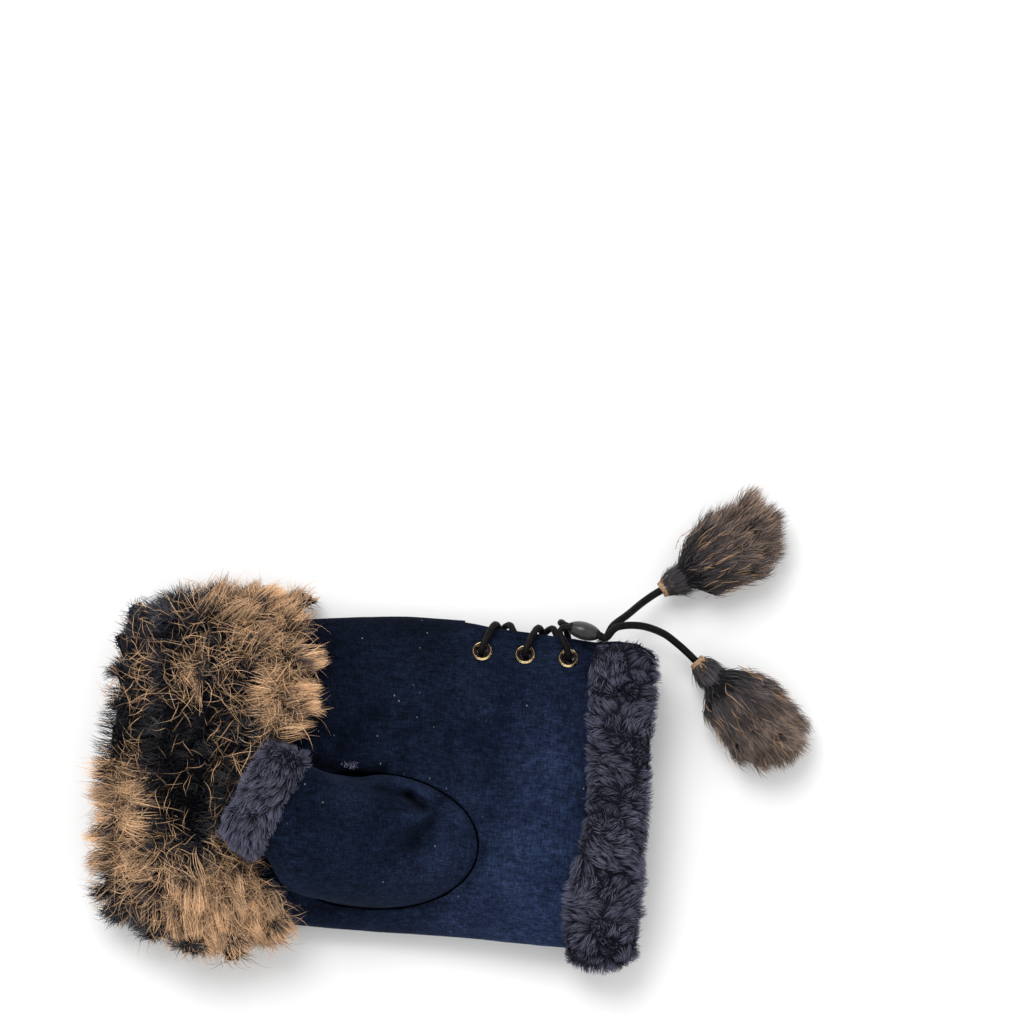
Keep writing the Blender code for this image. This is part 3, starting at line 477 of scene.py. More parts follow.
def gather(lines, tufts, pull, rng):
    """Draws the hairs that grow close together towards one tip."""
    leaders = rng.choice(len(lines), tufts, replace=False)
    tree = kdtree.KDTree(tufts)
    for i, leader in enumerate(leaders):
        tree.insert(lines[leader, 0], i)
    tree.balance()
    own = np.array([leaders[tree.find(root)[1]] for root in lines[:, 0]])
    t = np.linspace(0, 1, lines.shape[1])[None, :, None] ** 1.3
    return lines + (lines[own] - lines) * pull * t, own


def draw_hairs(name, lines, widths, tints, material, rng):
    """Hairs as narrow ribbons that face up, end in a point and are coloured point by point."""
    hairs, points, _ = lines.shape
    lines[..., 2] = np.maximum(lines[..., 2], HAIR_CLEARANCE)
    along = np.diff(lines, axis=1)
    along = np.concatenate([along, along[:, -1:]], axis=1)
    facing = np.array((0.0, 0.0, 1.0)) + rng.normal(0, RIBBON_TILT, (hairs, 1, 3))
    flat = unit(np.cross(along, facing))
    taper = 1 - (np.arange(points) / (points - 1)) ** 2
    half = flat * (widths[:, None] * taper)[..., None] / 2
    edges = np.stack([(lines - half)[:, :-1], (lines + half)[:, :-1]], axis=2)
    corners = np.concatenate([edges.reshape(hairs, -1, 3), lines[:, -1:]], axis=1)
    count = corners.shape[1]
    first = np.arange(hairs)[:, None] * count
    faces = []
    for k in range(points - 2):
        faces.append(first + np.array((2 * k, 2 * k + 1, 2 * k + 3, 2 * k + 2)))
    faces.append(first + np.array((count - 3, count - 2, count - 1)))
    loops = np.concatenate(faces, axis=1).ravel()
    sizes = np.tile([4] * (points - 2) + [3], hairs)
    mesh = bpy.data.meshes.new(name)
    mesh.vertices.add(hairs * count)
    mesh.vertices.foreach_set("co", corners.ravel())
    mesh.loops.add(len(loops))
    mesh.loops.foreach_set("vertex_index", loops)
    mesh.polygons.add(len(sizes))
    mesh.polygons.foreach_set("loop_start", np.concatenate([[0], np.cumsum(sizes)[:-1]]))
    mesh.update(calc_edges=True)
    shades = np.concatenate([np.repeat(tints[:, :-1], 2, axis=1), tints[:, -1:]], axis=1)
    shades = np.concatenate([shades, np.ones((*shades.shape[:2], 1))], axis=2)
    layer = mesh.color_attributes.new("tint", "FLOAT_COLOR", "POINT")
    layer.data.foreach_set("color", shades.ravel())
    mesh.materials.append(material)
    piece = bpy.data.objects.new(name, mesh)
    bpy.context.scene.collection.objects.link(piece)
    return piece


def shade(root, tip, points, power, light):
    """Each hair's colour from root to tip, with its own lightness."""
    t = np.linspace(0, 1, points)[None, :, None] ** power
    root, tip = np.atleast_2d(root)[:, None], np.atleast_2d(tip)[:, None]
    return (root + (tip - root) * t) * light[:, None, None]


def make_pile(name, roughness, specular):
    """The finish of hair that carries its own colour."""
    material, shader, _ = new_finish(name, roughness)
    tint = material.node_tree.nodes.new("ShaderNodeVertexColor")
    tint.layer_name = "tint"
    material.node_tree.links.new(tint.outputs["Color"], shader.inputs["Base Color"])
    shader.inputs["Specular IOR Level"].default_value = specular
    return material


def make_backing(name, colour):
    """The dark ground that shows between the hairs."""
    material, shader, where = new_finish(name, 1.0)
    clumps = noise_on(material, where, 600, 3)
    dark = tuple(c * 0.4 for c in colour)
    shades = ramp_on(material, clumps, ((0.3, dark), (0.75, colour)))
    material.node_tree.links.new(shades, shader.inputs["Base Color"])
    bump_on(material, shader, clumps, 0.001)
    shader.inputs["Specular IOR Level"].default_value = 0.05
    return material


def facing_out(points, normals, middle):
    """Which of these look away from the glove's own middle line, and not into its hollow."""
    away = points - middle
    away[:, 0] = 0
    return np.einsum("ij,ij->i", unit(away), normals) > OUTER_LEAST


plush = make_pile("grey_plush", 0.85, 0.12)
plush_backing = make_backing("plush_backing", PLUSH_ROOT)
draw = np.random.default_rng(11)

wrist_core = finer("wrist_plush", "wrist_roll", 2)
wrist_core.data.materials.append(plush_backing)
ripple(wrist_core, WRIST_WAVE_SIZE, WRIST_WAVE, 1.0)
roots, ways = scatter(wrist_core, int(WRIST_HAIRS * 1.5), draw)
low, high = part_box("wrist_plush")
wrist_middle = np.array((0.0, 0.0, (low.z + high.z) / 2))
outer = facing_out(roots, ways, wrist_middle)
roots, ways = roots[outer][:WRIST_HAIRS], ways[outer][:WRIST_HAIRS]
count = len(roots)
lengths = PLUSH_LENGTH * draw.uniform(0.5, 1.15, count)
brushed = drift(roots, PLUSH_WANDER, draw)
ways = unit(ways + brushed * 0.30 + draw.normal(0, 0.20, (count, 3)))
lay = unit(ways * 0.6 + brushed * 0.85 + draw.normal(0, 0.22, (count, 3)))
lines = grow(roots, ways, lay, lengths, PILE_STEPS, 0.02, 0.8, draw)
lines, own = gather(lines, WRIST_TUFTS, PLUSH_PULL, draw)
light = draw.uniform(*PLUSH_LIGHT, count) * draw.uniform(*TUFT_LIGHT, count)[own]
tints = shade(PLUSH_ROOT, PLUSH_TIP, PILE_STEPS, 1.1, light)
wrist_pile = draw_hairs("wrist_pile", lines, np.full(count, PLUSH_WIDTH), tints, plush, draw)
for piece in (wrist_core, wrist_pile):
    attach(piece, "root")
    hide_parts("wrist_plush")


# A scrap of the lining's lint, which has worked out through the thumb's seam: a few loose grey hairs
# that cling to the suede beside it.
LINT_PLACE = (-0.0190, 0.0046, 0.0235)
LINT_SPREAD = (0.0014, 0.0007, 0.0003)
LINT_LENGTH = (0.0008, 0.0020)
LINT_WIDTH = 0.00016
LINT_HAIRS = 60
LINT_DROP_FROM = 0.06
LINT_FLAT = (1, 1, 0.3)

count = LINT_HAIRS
roots = np.array(LINT_PLACE) + draw.normal(0, 1, (count, 3)) * np.array(LINT_SPREAD)
roots[:, 2] = [body.ray_cast(Vector((x, y, LINT_DROP_FROM)), Vector((0, 0, -1)))[1].z for x, y, _ in roots]
ways = unit(draw.normal(0, 1, (count, 3)) * np.array(LINT_FLAT) + np.array((0, 0, 0.5)))
lay = unit(ways + draw.normal(0, 0.8, (count, 3)) * np.array(LINT_FLAT))
lines = grow(roots, ways, lay, draw.uniform(*LINT_LENGTH, count), PILE_STEPS, 0.05, 1.0, draw)
tints = shade(PLUSH_TIP, PLUSH_TIP, PILE_STEPS, 1.0, draw.uniform(*PLUSH_LIGHT, count))
lint = draw_hairs("seam_lint", lines, np.full(count, LINT_WIDTH), tints, plush, draw)
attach(lint, "root")


# The lining's own pile: short grey plush on the flesh side of the suede. It grows only where the slit
# and the eyelets let it be seen, and is cut back at the slit's edge.
LINING_CORNER = (0.008, 0.028)
LINING_HAIRS = 7000
LINING_LENGTH = 0.0052
LINING_EDGE = 0.0572

seen = [
    face.material_index == 1 and face.center.x > LINING_CORNER[0] and face.center.y > LINING_CORNER[1]
    for face in body.data.polygons
]
roots, ways = scatter(body, LINING_HAIRS, draw, seen)
count = len(roots)
brushed = drift(roots, PLUSH_WANDER, draw)
ways = unit(ways + draw.normal(0, 0.35, (count, 3)))
lay = unit(ways * 0.5 + brushed * 0.9 + draw.normal(0, 0.4, (count, 3)))
lengths = LINING_LENGTH * draw.uniform(0.5, 1.1, count)
lines = grow(roots, ways, lay, lengths, PILE_STEPS, 0.03, 0.8, draw)
lines[..., 2] = np.maximum(lines[..., 2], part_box("suede_shell")[0].z + PLUSH_WIDTH)
lines = lines[lines[..., 1].max(axis=1) < LINING_EDGE]
count = len(lines)
tints = shade(LINING_DARK, LINING_LIGHT, PILE_STEPS, 1.2, draw.uniform(*PLUSH_LIGHT, count))
lining_pile = draw_hairs("lining_pile", lines, np.full(count, PLUSH_WIDTH * 1.4), tints, plush, draw)
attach(lining_pile, "root")


# The plush roll round the thumb's mouth: a narrower strip of the same grey plush, folded over the
# suede's edge and sewn down, whose pile is combed along the band.
THUMB_HAIRS = 12000
THUMB_TUFTS = 300
THUMB_WAVE = 0.0010
THUMB_WAVE_SIZE = 0.005
MOUTH_ANGLE = math.radians(155)

thumb_core = finer("thumb_plush", "thumb_roll", 2)
thumb_core.data.materials.append(plush_backing)
ripple(thumb_core, THUMB_WAVE_SIZE, THUMB_WAVE, 1.0)
roots, ways = scatter(thumb_core, THUMB_HAIRS, draw)
count = len(roots)
low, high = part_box("thumb_plush")
mouth = np.array((low + high) / 2)
band = unit(np.cross(ways, (math.cos(MOUTH_ANGLE), math.sin(MOUTH_ANGLE), 0.0)))
outer = np.einsum("ij,ij->i", unit(roots - mouth), ways) > -0.1
lengths = PLUSH_LENGTH * draw.uniform(0.6, 1.2, count) * np.where(outer, 1.0, 0.4)
brushed = drift(roots, PLUSH_WANDER, draw)
ways = unit(ways + band * 0.5 + brushed * 0.2 + draw.normal(0, 0.2, (count, 3)))
lay = unit(ways * 0.4 + band * 0.9 + brushed * 0.35 + draw.normal(0, 0.2, (count, 3)))
lines = grow(roots, ways, lay, lengths, PILE_STEPS, 0.02, 0.8, draw)
lines, own = gather(lines, THUMB_TUFTS, PLUSH_PULL, draw)
light = draw.uniform(*PLUSH_LIGHT, count) * draw.uniform(*TUFT_LIGHT, count)[own]
tints = shade(PLUSH_ROOT, PLUSH_TIP, PILE_STEPS, 1.1, light)
thumb_pile = draw_hairs("thumb_pile", lines, np.full(count, PLUSH_WIDTH), tints, plush, draw)
for piece in (thumb_core, thumb_pile):
    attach(piece, "root")
    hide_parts("thumb_plush")


# The fur cuff: a strip of fur sewn round the finger opening. Under it lies dense navy-black underfur,
# and over it wander wiry tan guard hairs, thick and pale in some patches and thin in others.
FUR_DARK = (0.0035, 0.0040, 0.0075)
FUR_DARK_TIP = (0.026, 0.027, 0.040)
FUR_TAN_ROOT = (0.060, 0.034, 0.017)
FUR_TAN_TIP = (1.000, 0.610, 0.330)
FUR_VOXEL = 0.0024
FUR_SINK = 0.0045
FUR_STRIP = 0.046
FUR_NOSE_X = -0.094
UNDERFUR_HAIRS = 39000
UNDERFUR_LENGTH = 0.0100
UNDERFUR_WIDTH = 0.00026
UNDERFUR_TUFTS = 1300
UNDERFUR_PULL = 0.45
UNDERFUR_BROWN = 0.10
CURL_HAIRS = 6200
CURL_LENGTH = 0.0150
CURL_WIDTH = 0.00024
CURL_STEPS = 8
CURL_RISE = 0.002
PATCH_HAIRS = 10500
PATCH_LENGTH = 0.0150
PATCH_WIDTH = 0.00025
PATCH_STEPS = 5
PATCH_TUFTS = 330
PATCH_PULL = 0.70
GUARDS_LEFT = 0.03
FUR_GAP = 0.0006
GROUND_ROUNDS = 30
FUR_LEAN = ((0.0, -0.75), (0.30, -0.35), (0.50, 0.05), (0.75, 0.50), (1.0, 1.10))

# Patches of pale guard hairs: their middle, their reach along and across, the way that they are combed
# in plan, how thick they are and how pale.
FUR_PATCHES = (
    {"x": -0.055, "y": 0.057, "along": 0.017, "across": 0.012, "comb": 50, "thick": 0.75, "pale": 0.95},
    {"x": -0.043, "y": 0.027, "along": 0.012, "across": 0.010, "comb": 2, "thick": 2.3, "pale": 1.50},
    {"x": -0.080, "y": 0.038, "along": 0.005, "across": 0.006, "comb": -60, "thick": 0.5, "pale": 1.0},
    {"x": -0.099, "y": -0.013, "along": 0.010, "across": 0.010, "comb": 165, "thick": 0.8, "pale": 1.15},
    {"x": -0.096, "y": -0.033, "along": 0.010, "across": 0.010, "comb": 190, "thick": 0.8, "pale": 1.15},
    {"x": -0.064, "y": -0.048, "along": 0.014, "across": 0.013, "comb": -75, "thick": 1.4, "pale": 1.25},
    {"x": -0.046, "y": -0.050, "along": 0.011, "across": 0.009, "comb": -40, "thick": 1.0, "pale": 1.0},
)

# Places where the guard hairs are thin, and how much deeper the underfur's tone is there.
FUR_THIN = (
    {"x": -0.088, "y": 0.012, "along": 0.027, "across": 0.016, "thin": 1.0, "deep": 0.75},
    {"x": -0.078, "y": -0.014, "along": 0.010, "across": 0.014, "thin": 1.0, "deep": 0.75},
    {"x": -0.098, "y": -0.054, "along": 0.012, "across": 0.008, "thin": 1.0, "deep": 0.0},
    {"x": -0.080, "y": -0.062, "along": 0.012, "across": 0.006, "thin": 1.0, "deep": 0.0},
    {"x": -0.092, "y": 0.056, "along": 0.016, "across": 0.016, "thin": 0.97, "deep": -0.25},
)

# How far the fur reaches in plan, as it lies.
FUR_OUTLINE = (
    (-0.0285, 0.0490),
    (-0.0415, 0.0590),
    (-0.0445, 0.0650),
    (-0.0610, 0.0715),
    (-0.0862, 0.0665),
    (-0.0960, 0.0600),
    (-0.1035, 0.0500),
    (-0.1070, 0.0390),
    (-0.1118, 0.0280),
    (-0.1135, 0.0130),
    (-0.1145, -0.0200),
    (-0.1130, -0.0473),
    (-0.1060, -0.0590),
    (-0.0915, -0.0635),
    (-0.0653, -0.0700),
    (-0.0461, -0.0635),
    (-0.0329, -0.0560),
    (-0.0260, -0.0400),
)
FUR_STRAY = 0.0030


def patch_reach(points, patch):
    """How far into a patch each point lies: 1 is its middle, and it fades past its edge."""
    along = (points[:, 0] - patch["x"]) / patch["along"]
    across = (points[:, 1] - patch["y"]) / patch["across"]
    return np.exp(-(along**2 + across**2))


def within(points, outline):
    """How far inside a closed outline each point lies in plan, less than nothing outside it."""
    corners = np.array(outline)
    sides = np.roll(corners, -1, axis=0) - corners
    apart = points[:, None, :2] - corners
    share = np.clip((apart * sides).sum(axis=2) / (sides**2).sum(axis=1), 0, 1)
    distance = np.linalg.norm(apart - sides * share[..., None], axis=2).min(axis=1)
    below = corners[:, 1] <= points[:, None, 1]
    crosses = below != np.roll(below, -1, axis=1)
    left = sides[:, 0] * apart[..., 1] - sides[:, 1] * apart[..., 0]
    inside = (crosses & ((left < 0) == (sides[:, 1] > 0))).sum(axis=1) % 2 == 1
    return np.where(inside, distance, -distance)


def trim(lines, outline, stray, rng):
    """Shortens the hairs that would reach outside the outline, each with its own stray."""
    room = rng.exponential(stray, len(lines))
    for _ in range(7):
        over = within(lines[:, -1], outline) < -room
        lines[over] = lines[over, :1] + (lines[over] - lines[over, :1]) * 0.8
    return lines


def keep_off(lines, solids, gap):
    """Which hairs stay clear of these solids, tried at each of a hair's points."""
    clear = np.ones(len(lines), bool)
    for solid in solids:
        mesh = solid.data
        corners = [v.co.copy() for v in mesh.vertices]
        tree = BVHTree.FromPolygons(corners, [list(p.vertices) for p in mesh.polygons])
        spots = np.array(corners)
        low, high = spots.min(axis=0) - gap, spots.max(axis=0) + gap
        for i in np.flatnonzero(((lines > low) & (lines < high)).all(axis=2).any(axis=1) & clear):
            for point in lines[i, 1:]:
                spot, normal, _, distance = tree.find_nearest(Vector(point), gap * 20)
                if spot and (distance < gap or (Vector(point) - spot).dot(normal) < 0):
                    clear[i] = False
                    break
    return clear


def smooth_ground(piece, voxel, rounds):
    """Melts a piece's locks into one soft ground, and drops the crumbs of their tips."""
    only(piece)
    remesh = piece.modifiers.new("remesh", "REMESH")
    remesh.mode = "VOXEL"
    remesh.voxel_size = voxel
    bpy.ops.object.modifier_apply(modifier=remesh.name)
    bm = bmesh.new()
    bm.from_mesh(piece.data)
    islands, seen = [], set()
    for start in bm.verts:
        if start in seen:
            continue
        island, edge = {start}, [start]
        while edge:
            for side in edge.pop().link_edges:
                for vertex in side.verts:
                    if vertex not in island:
                        island.add(vertex)
                        edge.append(vertex)
        seen |= island
        islands.append(island)
    largest = max(islands, key=len)
    bmesh.ops.delete(bm, geom=[v for v in bm.verts if v not in largest], context="VERTS")
    bm.to_mesh(piece.data)
    bm.free()
    soften = piece.modifiers.new("soften", "SMOOTH")
    soften.factor = 0.5
    soften.iterations = rounds
    bpy.ops.object.modifier_apply(modifier=soften.name)
    bpy.ops.object.shade_smooth()


def sink(piece, depth):
    """Draws a ground in along its own normals, by one depth or by one for each vertex."""
    spots = np.array([vertex.co for vertex in piece.data.vertices])
    outward = np.array([vertex.normal for vertex in piece.data.vertices])
    piece.data.vertices.foreach_set("co", (spots - outward * depth(spots, outward)[:, None]).ravel())
    piece.data.update()


fur = make_pile("cuff_fur", 0.50, 0.50)
fur_backing = make_backing("fur_backing", FUR_DARK)
fur_core = finer("fur_cuff", "fur_ground", 0)
fur_core.data.materials.append(fur_backing)
smooth_ground(fur_core, FUR_VOXEL, GROUND_ROUNDS)

low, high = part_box("suede_shell")
glove_middle = np.array((0.0, 0.0, (low.z + high.z) / 2))
sink(fur_core, lambda spots, outward: FUR_SINK * facing_out(spots, outward, glove_middle))


def fur_roots(tries, wanted, weight):
    """Roots on the outer side of the fur's ground, thinned by a weight for each, with its lean."""
    points, normals = scatter(fur_core, tries, draw)
    clear = points[:, 2] > HAIR_CLEARANCE * 2
    chance = weight(points) * facing_out(points, normals, glove_middle) * clear
    kept = np.flatnonzero(draw.random(tries) < chance)[:wanted]
    points, normals = points[kept], normals[kept]
    share = (points[:, 0] - FUR_NOSE_X) / FUR_STRIP
    lean = np.interp(share, *zip(*FUR_LEAN))
    return points, normals, np.stack([lean, np.zeros_like(lean), np.zeros_like(lean)], axis=1)


def all_patches(points):
    """How thick the pale guard hairs stand."""
    return np.clip(sum(patch_reach(points, patch) * patch["thick"] for patch in FUR_PATCHES), 0, 1)


def thinned(points):
    """How many of the guard hairs are left, which are few where the fur is thin."""
    thin = sum(patch_reach(points, patch) * patch["thin"] for patch in FUR_THIN)
    return np.clip(1 - thin, GUARDS_LEFT, 1)


roots, normals, lean = fur_roots(UNDERFUR_HAIRS * 2, UNDERFUR_HAIRS, lambda points: np.ones(len(points)))
count = len(roots)
ways = unit(normals + lean * 0.8 + draw.normal(0, 0.35, (count, 3)))
lay = unit(ways + lean * 0.6 + draw.normal(0, 0.5, (count, 3)))
lengths = UNDERFUR_LENGTH * draw.uniform(0.55, 1.1, count)
lines = grow(roots, ways, lay, lengths, PILE_STEPS, 0.02, 0.8, draw)
lines, _ = gather(lines, UNDERFUR_TUFTS, UNDERFUR_PULL, draw)
lines = trim(lines, FUR_OUTLINE, FUR_STRAY * 0.7, draw)
light = draw.uniform(0.5, 1.5, count)
deep = sum(patch_reach(roots, patch) * patch["deep"] for patch in FUR_THIN)
light *= 1 - np.clip(deep, -0.5, 0.8)
brown = (all_patches(roots) * draw.uniform(0.0, 1.0, count) ** 2)[:, None]
tips = np.array(FUR_DARK_TIP) * (1 - brown) + np.array(FUR_TAN_TIP) * UNDERFUR_BROWN * brown
tints = shade(FUR_DARK, tips, PILE_STEPS, 1.6, light)
clear = keep_off(lines, (thumb_core, thumb), FUR_GAP)
widths = np.full(count, UNDERFUR_WIDTH)
underfur = draw_hairs("underfur", lines[clear], widths[clear], tints[clear], fur, draw)

roots, normals, lean = fur_roots(
    CURL_HAIRS * 8, CURL_HAIRS, lambda points: (0.25 + 0.5 * all_patches(points)) * thinned(points)
)
count = len(roots)
roots = roots + normals * CURL_RISE
flat = unit(np.cross(normals, draw.normal(size=(count, 3))))
ways = unit(normals * 0.95 + lean * 0.4 + flat * 0.55)
lay = unit(flat + normals * 0.35 + lean * 0.3 + draw.normal(0, 0.3, (count, 3)))
lengths = CURL_LENGTH * draw.uniform(0.5, 1.1, count)
lines = grow(roots, ways, lay, lengths, CURL_STEPS, 0.036, 0.9, draw)
lines = trim(lines, FUR_OUTLINE, FUR_STRAY, draw)
tints = shade(FUR_TAN_ROOT, FUR_TAN_TIP, CURL_STEPS, 0.5, draw.uniform(0.40, 1.0, count))
clear = keep_off(lines, (thumb_core, thumb, body), FUR_GAP)
widths = CURL_WIDTH * draw.uniform(0.6, 1.1, count)
curls = draw_hairs("guard_hairs", lines[clear], widths[clear], tints[clear], fur, draw)

roots, normals, lean = fur_roots(PATCH_HAIRS * 8, PATCH_HAIRS, all_patches)
count = len(roots)
shares = np.stack([patch_reach(roots, patch) * patch["thick"] + 0.001 for patch in FUR_PATCHES], axis=1)
shares /= shares.sum(axis=1, keepdims=True)
angles = np.radians([patch["comb"] for patch in FUR_PATCHES])
comb = shares @ np.stack([np.cos(angles), np.sin(angles), np.zeros(len(angles))], axis=1)
ways = unit(normals * 0.75 + comb * 0.8 + lean * 0.2 + draw.normal(0, 0.16, (count, 3)))
lay = unit(comb * 1.3 + lean * 0.2 - np.array((0, 0, 0.2)) + draw.normal(0, 0.28, (count, 3)))
lengths = PATCH_LENGTH * draw.uniform(0.55, 1.15, count)
lines = grow(roots, ways, lay, lengths, PATCH_STEPS, 0.025, 0.8, draw)
lines, own = gather(lines, PATCH_TUFTS, PATCH_PULL, draw)
lines = trim(lines, FUR_OUTLINE, FUR_STRAY, draw)
pale = shares @ np.array([patch["pale"] for patch in FUR_PATCHES])
light = pale * draw.uniform(0.55, 1.2, count) * draw.uniform(0.40, 1.30, count)[own]
tints = shade(FUR_TAN_ROOT, FUR_TAN_TIP, PATCH_STEPS, 0.58, np.minimum(light, 1))
clear = keep_off(lines, (thumb_core, thumb, body), FUR_GAP)
widths = np.full(count, PATCH_WIDTH)
patches = draw_hairs("pale_patches", lines[clear], widths[clear], tints[clear], fur, draw)

for piece in (fur_core, underfur, curls, patches):
    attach(piece, "root")
    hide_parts("fur_cuff")


# The eyelets: six turned rings of aged brass, three in each edge of the slit, clenched through the
# suede and its lining. They are rubbed bright on their rims; their funnels are dull and painted dark,
# painted shade for the inside of the hole.
BRASS = (0.92, 0.70, 0.38)
BRASS_DARK = (0.24, 0.145, 0.065)
FUNNEL_PAINTED_SHADE = (0.050, 0.030, 0.020)
SHADED_FUNNEL_SLOPE = 0.25


def make_brass():
    """Polished brass with spots of tarnish."""
    material, shader, where = new_finish("aged_brass", 0.27)
    tarnish = noise_on(material, where, 900, 4, 0.7)
    colour = ramp_on(material, tarnish, ((0.28, BRASS_DARK), (0.48, BRASS)))
    material.node_tree.links.new(colour, shader.inputs["Base Color"])
    shader.inputs["Metallic"].default_value = 1.0
    bump_on(material, shader, tarnish, 0.00008)
    return material


brass = make_brass()
shaded_funnel, shaded_funnel_shader, _ = new_finish("funnel_painted_shade", 0.5)
shaded_funnel_shader.inputs["Base Color"].default_value = (*FUNNEL_PAINTED_SHADE, 1)
shaded_funnel_shader.inputs["Metallic"].default_value = 0.8
for panel in ("palm", "back"):
    for number in (1, 2, 3):
        node = f"eyelet_{panel}_{number}"
        ring = finer(node, "brass_" + node, 3)
        ring.data.materials.append(brass)
        ring.data.materials.append(shaded_funnel)
        low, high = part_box(node)
        middle = (low + high) / 2
        # Faces that look in towards the hole get the dark funnel finish, painted shade for the inside of
        # the hole.
        for face in ring.data.polygons:
            inward = (middle - face.center).xy
            face.material_index = 1 if face.normal.xy.dot(inward.normalized()) > SHADED_FUNNEL_SLOPE else 0
        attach(ring, "root")
        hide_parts(node)


# The lace: one round waxed cord, black and a little worn, crossed through the six eyelets. The bead
# draws its two ends together.
WAXED = (0.0026, 0.0023, 0.0028)
WAXED_WORN = (0.0085, 0.0075, 0.0080)


def make_waxed():
    """Black waxed cord, a little worn, with its fibres showing."""
    material, shader, where = new_finish("waxed_cord", 0.46)
    wear = noise_on(material, where, 700, 3)
    fibres = noise_on(material, where, 2600, 2)
    colour = ramp_on(material, wear, ((0.35, WAXED), (0.75, WAXED_WORN)))
    material.node_tree.links.new(colour, shader.inputs["Base Color"])
    soft = bump_on(material, shader, wear, 0.0003)
    bump_on(material, shader, fibres, 0.0001, 0.7, soft)
    shader.inputs["Specular IOR Level"].default_value = 0.07
    return material


waxed = make_waxed()
lace = finer("lace", "crossed_lace", 1)
lace.data.materials.append(waxed)
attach(lace, "root")
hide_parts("lace")


# The bead: a turned oval bead, grey with darker streaks and a satin face. Both ends of the lace pass
# through it, and it grips them.
BEAD_GREY = (0.012, 0.011, 0.012)
BEAD_PALE = (0.032, 0.031, 0.033)

bead_finish, bead_shader, bead_where = new_finish("grey_bead", 0.30)
bead_shader.inputs["Specular IOR Level"].default_value = 0.42
streaks = noise_on(bead_finish, bead_where, 330, 4)
bead_colour = ramp_on(bead_finish, streaks, ((0.35, BEAD_GREY), (0.7, BEAD_PALE)))
bead_finish.node_tree.links.new(bead_colour, bead_shader.inputs["Base Color"])
bump_on(bead_finish, bead_shader, streaks, 0.0001)
bead = finer("bead", "lace_bead", 2)
bead.data.materials.append(bead_finish)
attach(bead, "root")
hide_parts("bead")


# The free ends of the lace: each runs from the bead down to the surface and ends in a fur pompom, held
# in a short roll of the fur's own skin.
CORD = 0.0028
ROUTES = {
    "a": (
        (0.0680, 0.0590, 0.0231),
        (0.0695, 0.0587, 0.0230),
        (0.0723, 0.0581, 0.0230),
        (0.0745, 0.0625, 0.0245),
        (0.0795, 0.0667, 0.0200),
        (0.0845, 0.0712, 0.0140),
        (0.0885, 0.0744, 0.0112),
        (0.0915, 0.0765, 0.0106),
        (0.0945, 0.0786, 0.0106),
    ),
    "b": (
        (0.0680, 0.0590, 0.0261),
        (0.0695, 0.0587, 0.0262),
        (0.0723, 0.0581, 0.0262),
        (0.0760, 0.0622, 0.0275),
        (0.0845, 0.0632, 0.0225),
        (0.0930, 0.0610, 0.0150),
        (0.0990, 0.0573, 0.0116),
        (0.1035, 0.0538, 0.0106),
        (0.1062, 0.0515, 0.0106),
        (0.1089, 0.0492, 0.0106),
    ),
}
SKIN_TAN = (0.42, 0.26, 0.15)
SKIN_DARK = (0.16, 0.085, 0.045)
POMPOM_ROOT = (0.011, 0.010, 0.012)
POMPOM_TIP = (0.082, 0.073, 0.082)
POMPOM_END = (0.620, 0.410, 0.270)
POMPOM_VOXEL = 0.0016
POMPOM_ROUNDS = 24
POMPOM_SINK = 0.0026
POMPOM_HAIRS = 14000
POMPOM_WIDTH = 0.00024
POMPOM_TUFTS = 150
POMPOM_PULL = 0.35
POMPOM_GUARDS = 170
POMPOM_LENGTH = 0.0090
POMPOM_GUARD = 0.0130
POMPOM_GUARD_WIDTH = 0.00018
POMPOM_GUARD_STEPS = 7
POMPOM_GUARD_RISE = 0.0026
POMPOM_REACH = 0.034
NECK_HAIRS = 2600
NECK_RIM = -0.0022
NECK_END = 0.0048


def through(points, per_span):
    """Points along a smooth curve through the given ones."""
    found = []
    last = len(points) - 1
    for i in range(last):
        p0, p1 = points[max(i - 1, 0)], points[i]
        p2, p3 = points[i + 1], points[min(i + 2, last)]
        for k in range(per_span):
            t = k / per_span
            bend = 2 * p0 - 5 * p1 + 4 * p2 - p3
            twist = 3 * p1 - p0 - 3 * p2 + p3
            found.append(p1 + ((p2 - p0) * t + bend * t**2 + twist * t**3) / 2)
    return found + [points[last]]


def lay_cord(name, route):
    """A round cord along a route, as a curve."""
    points = through([Vector(p) for p in route], 6)
    curve = bpy.data.curves.new(name, "CURVE")
    curve.dimensions = "3D"
    curve.bevel_depth = CORD / 2
    curve.bevel_resolution = 4
    curve.use_fill_caps = True
    spline = curve.splines.new("POLY")
    spline.points.add(len(points) - 1)
    for spot, point in zip(spline.points, points):
        spot.co = (*point, 1)
    spline.use_smooth = True
    curve.materials.append(waxed)
    piece = bpy.data.objects.new(name, curve)
    bpy.context.scene.collection.objects.link(piece)
    length = sum((b - a).length for a, b in zip(points, points[1:]))
    return piece, length


hide, hide_shader, hide_where = new_finish("tan_skin", 0.72)
creases = noise_on(hide, hide_where, 1100, 4)
hide_colour = ramp_on(hide, creases, ((0.34, SKIN_DARK), (0.6, SKIN_TAN)))
hide.node_tree.links.new(hide_colour, hide_shader.inputs["Base Color"])
bump_on(hide, hide_shader, creases, 0.0004)
pompom_fur = make_pile("pompom_fur", 0.55, 0.3)
pompom_backing = make_backing("pompom_backing", POMPOM_ROOT)

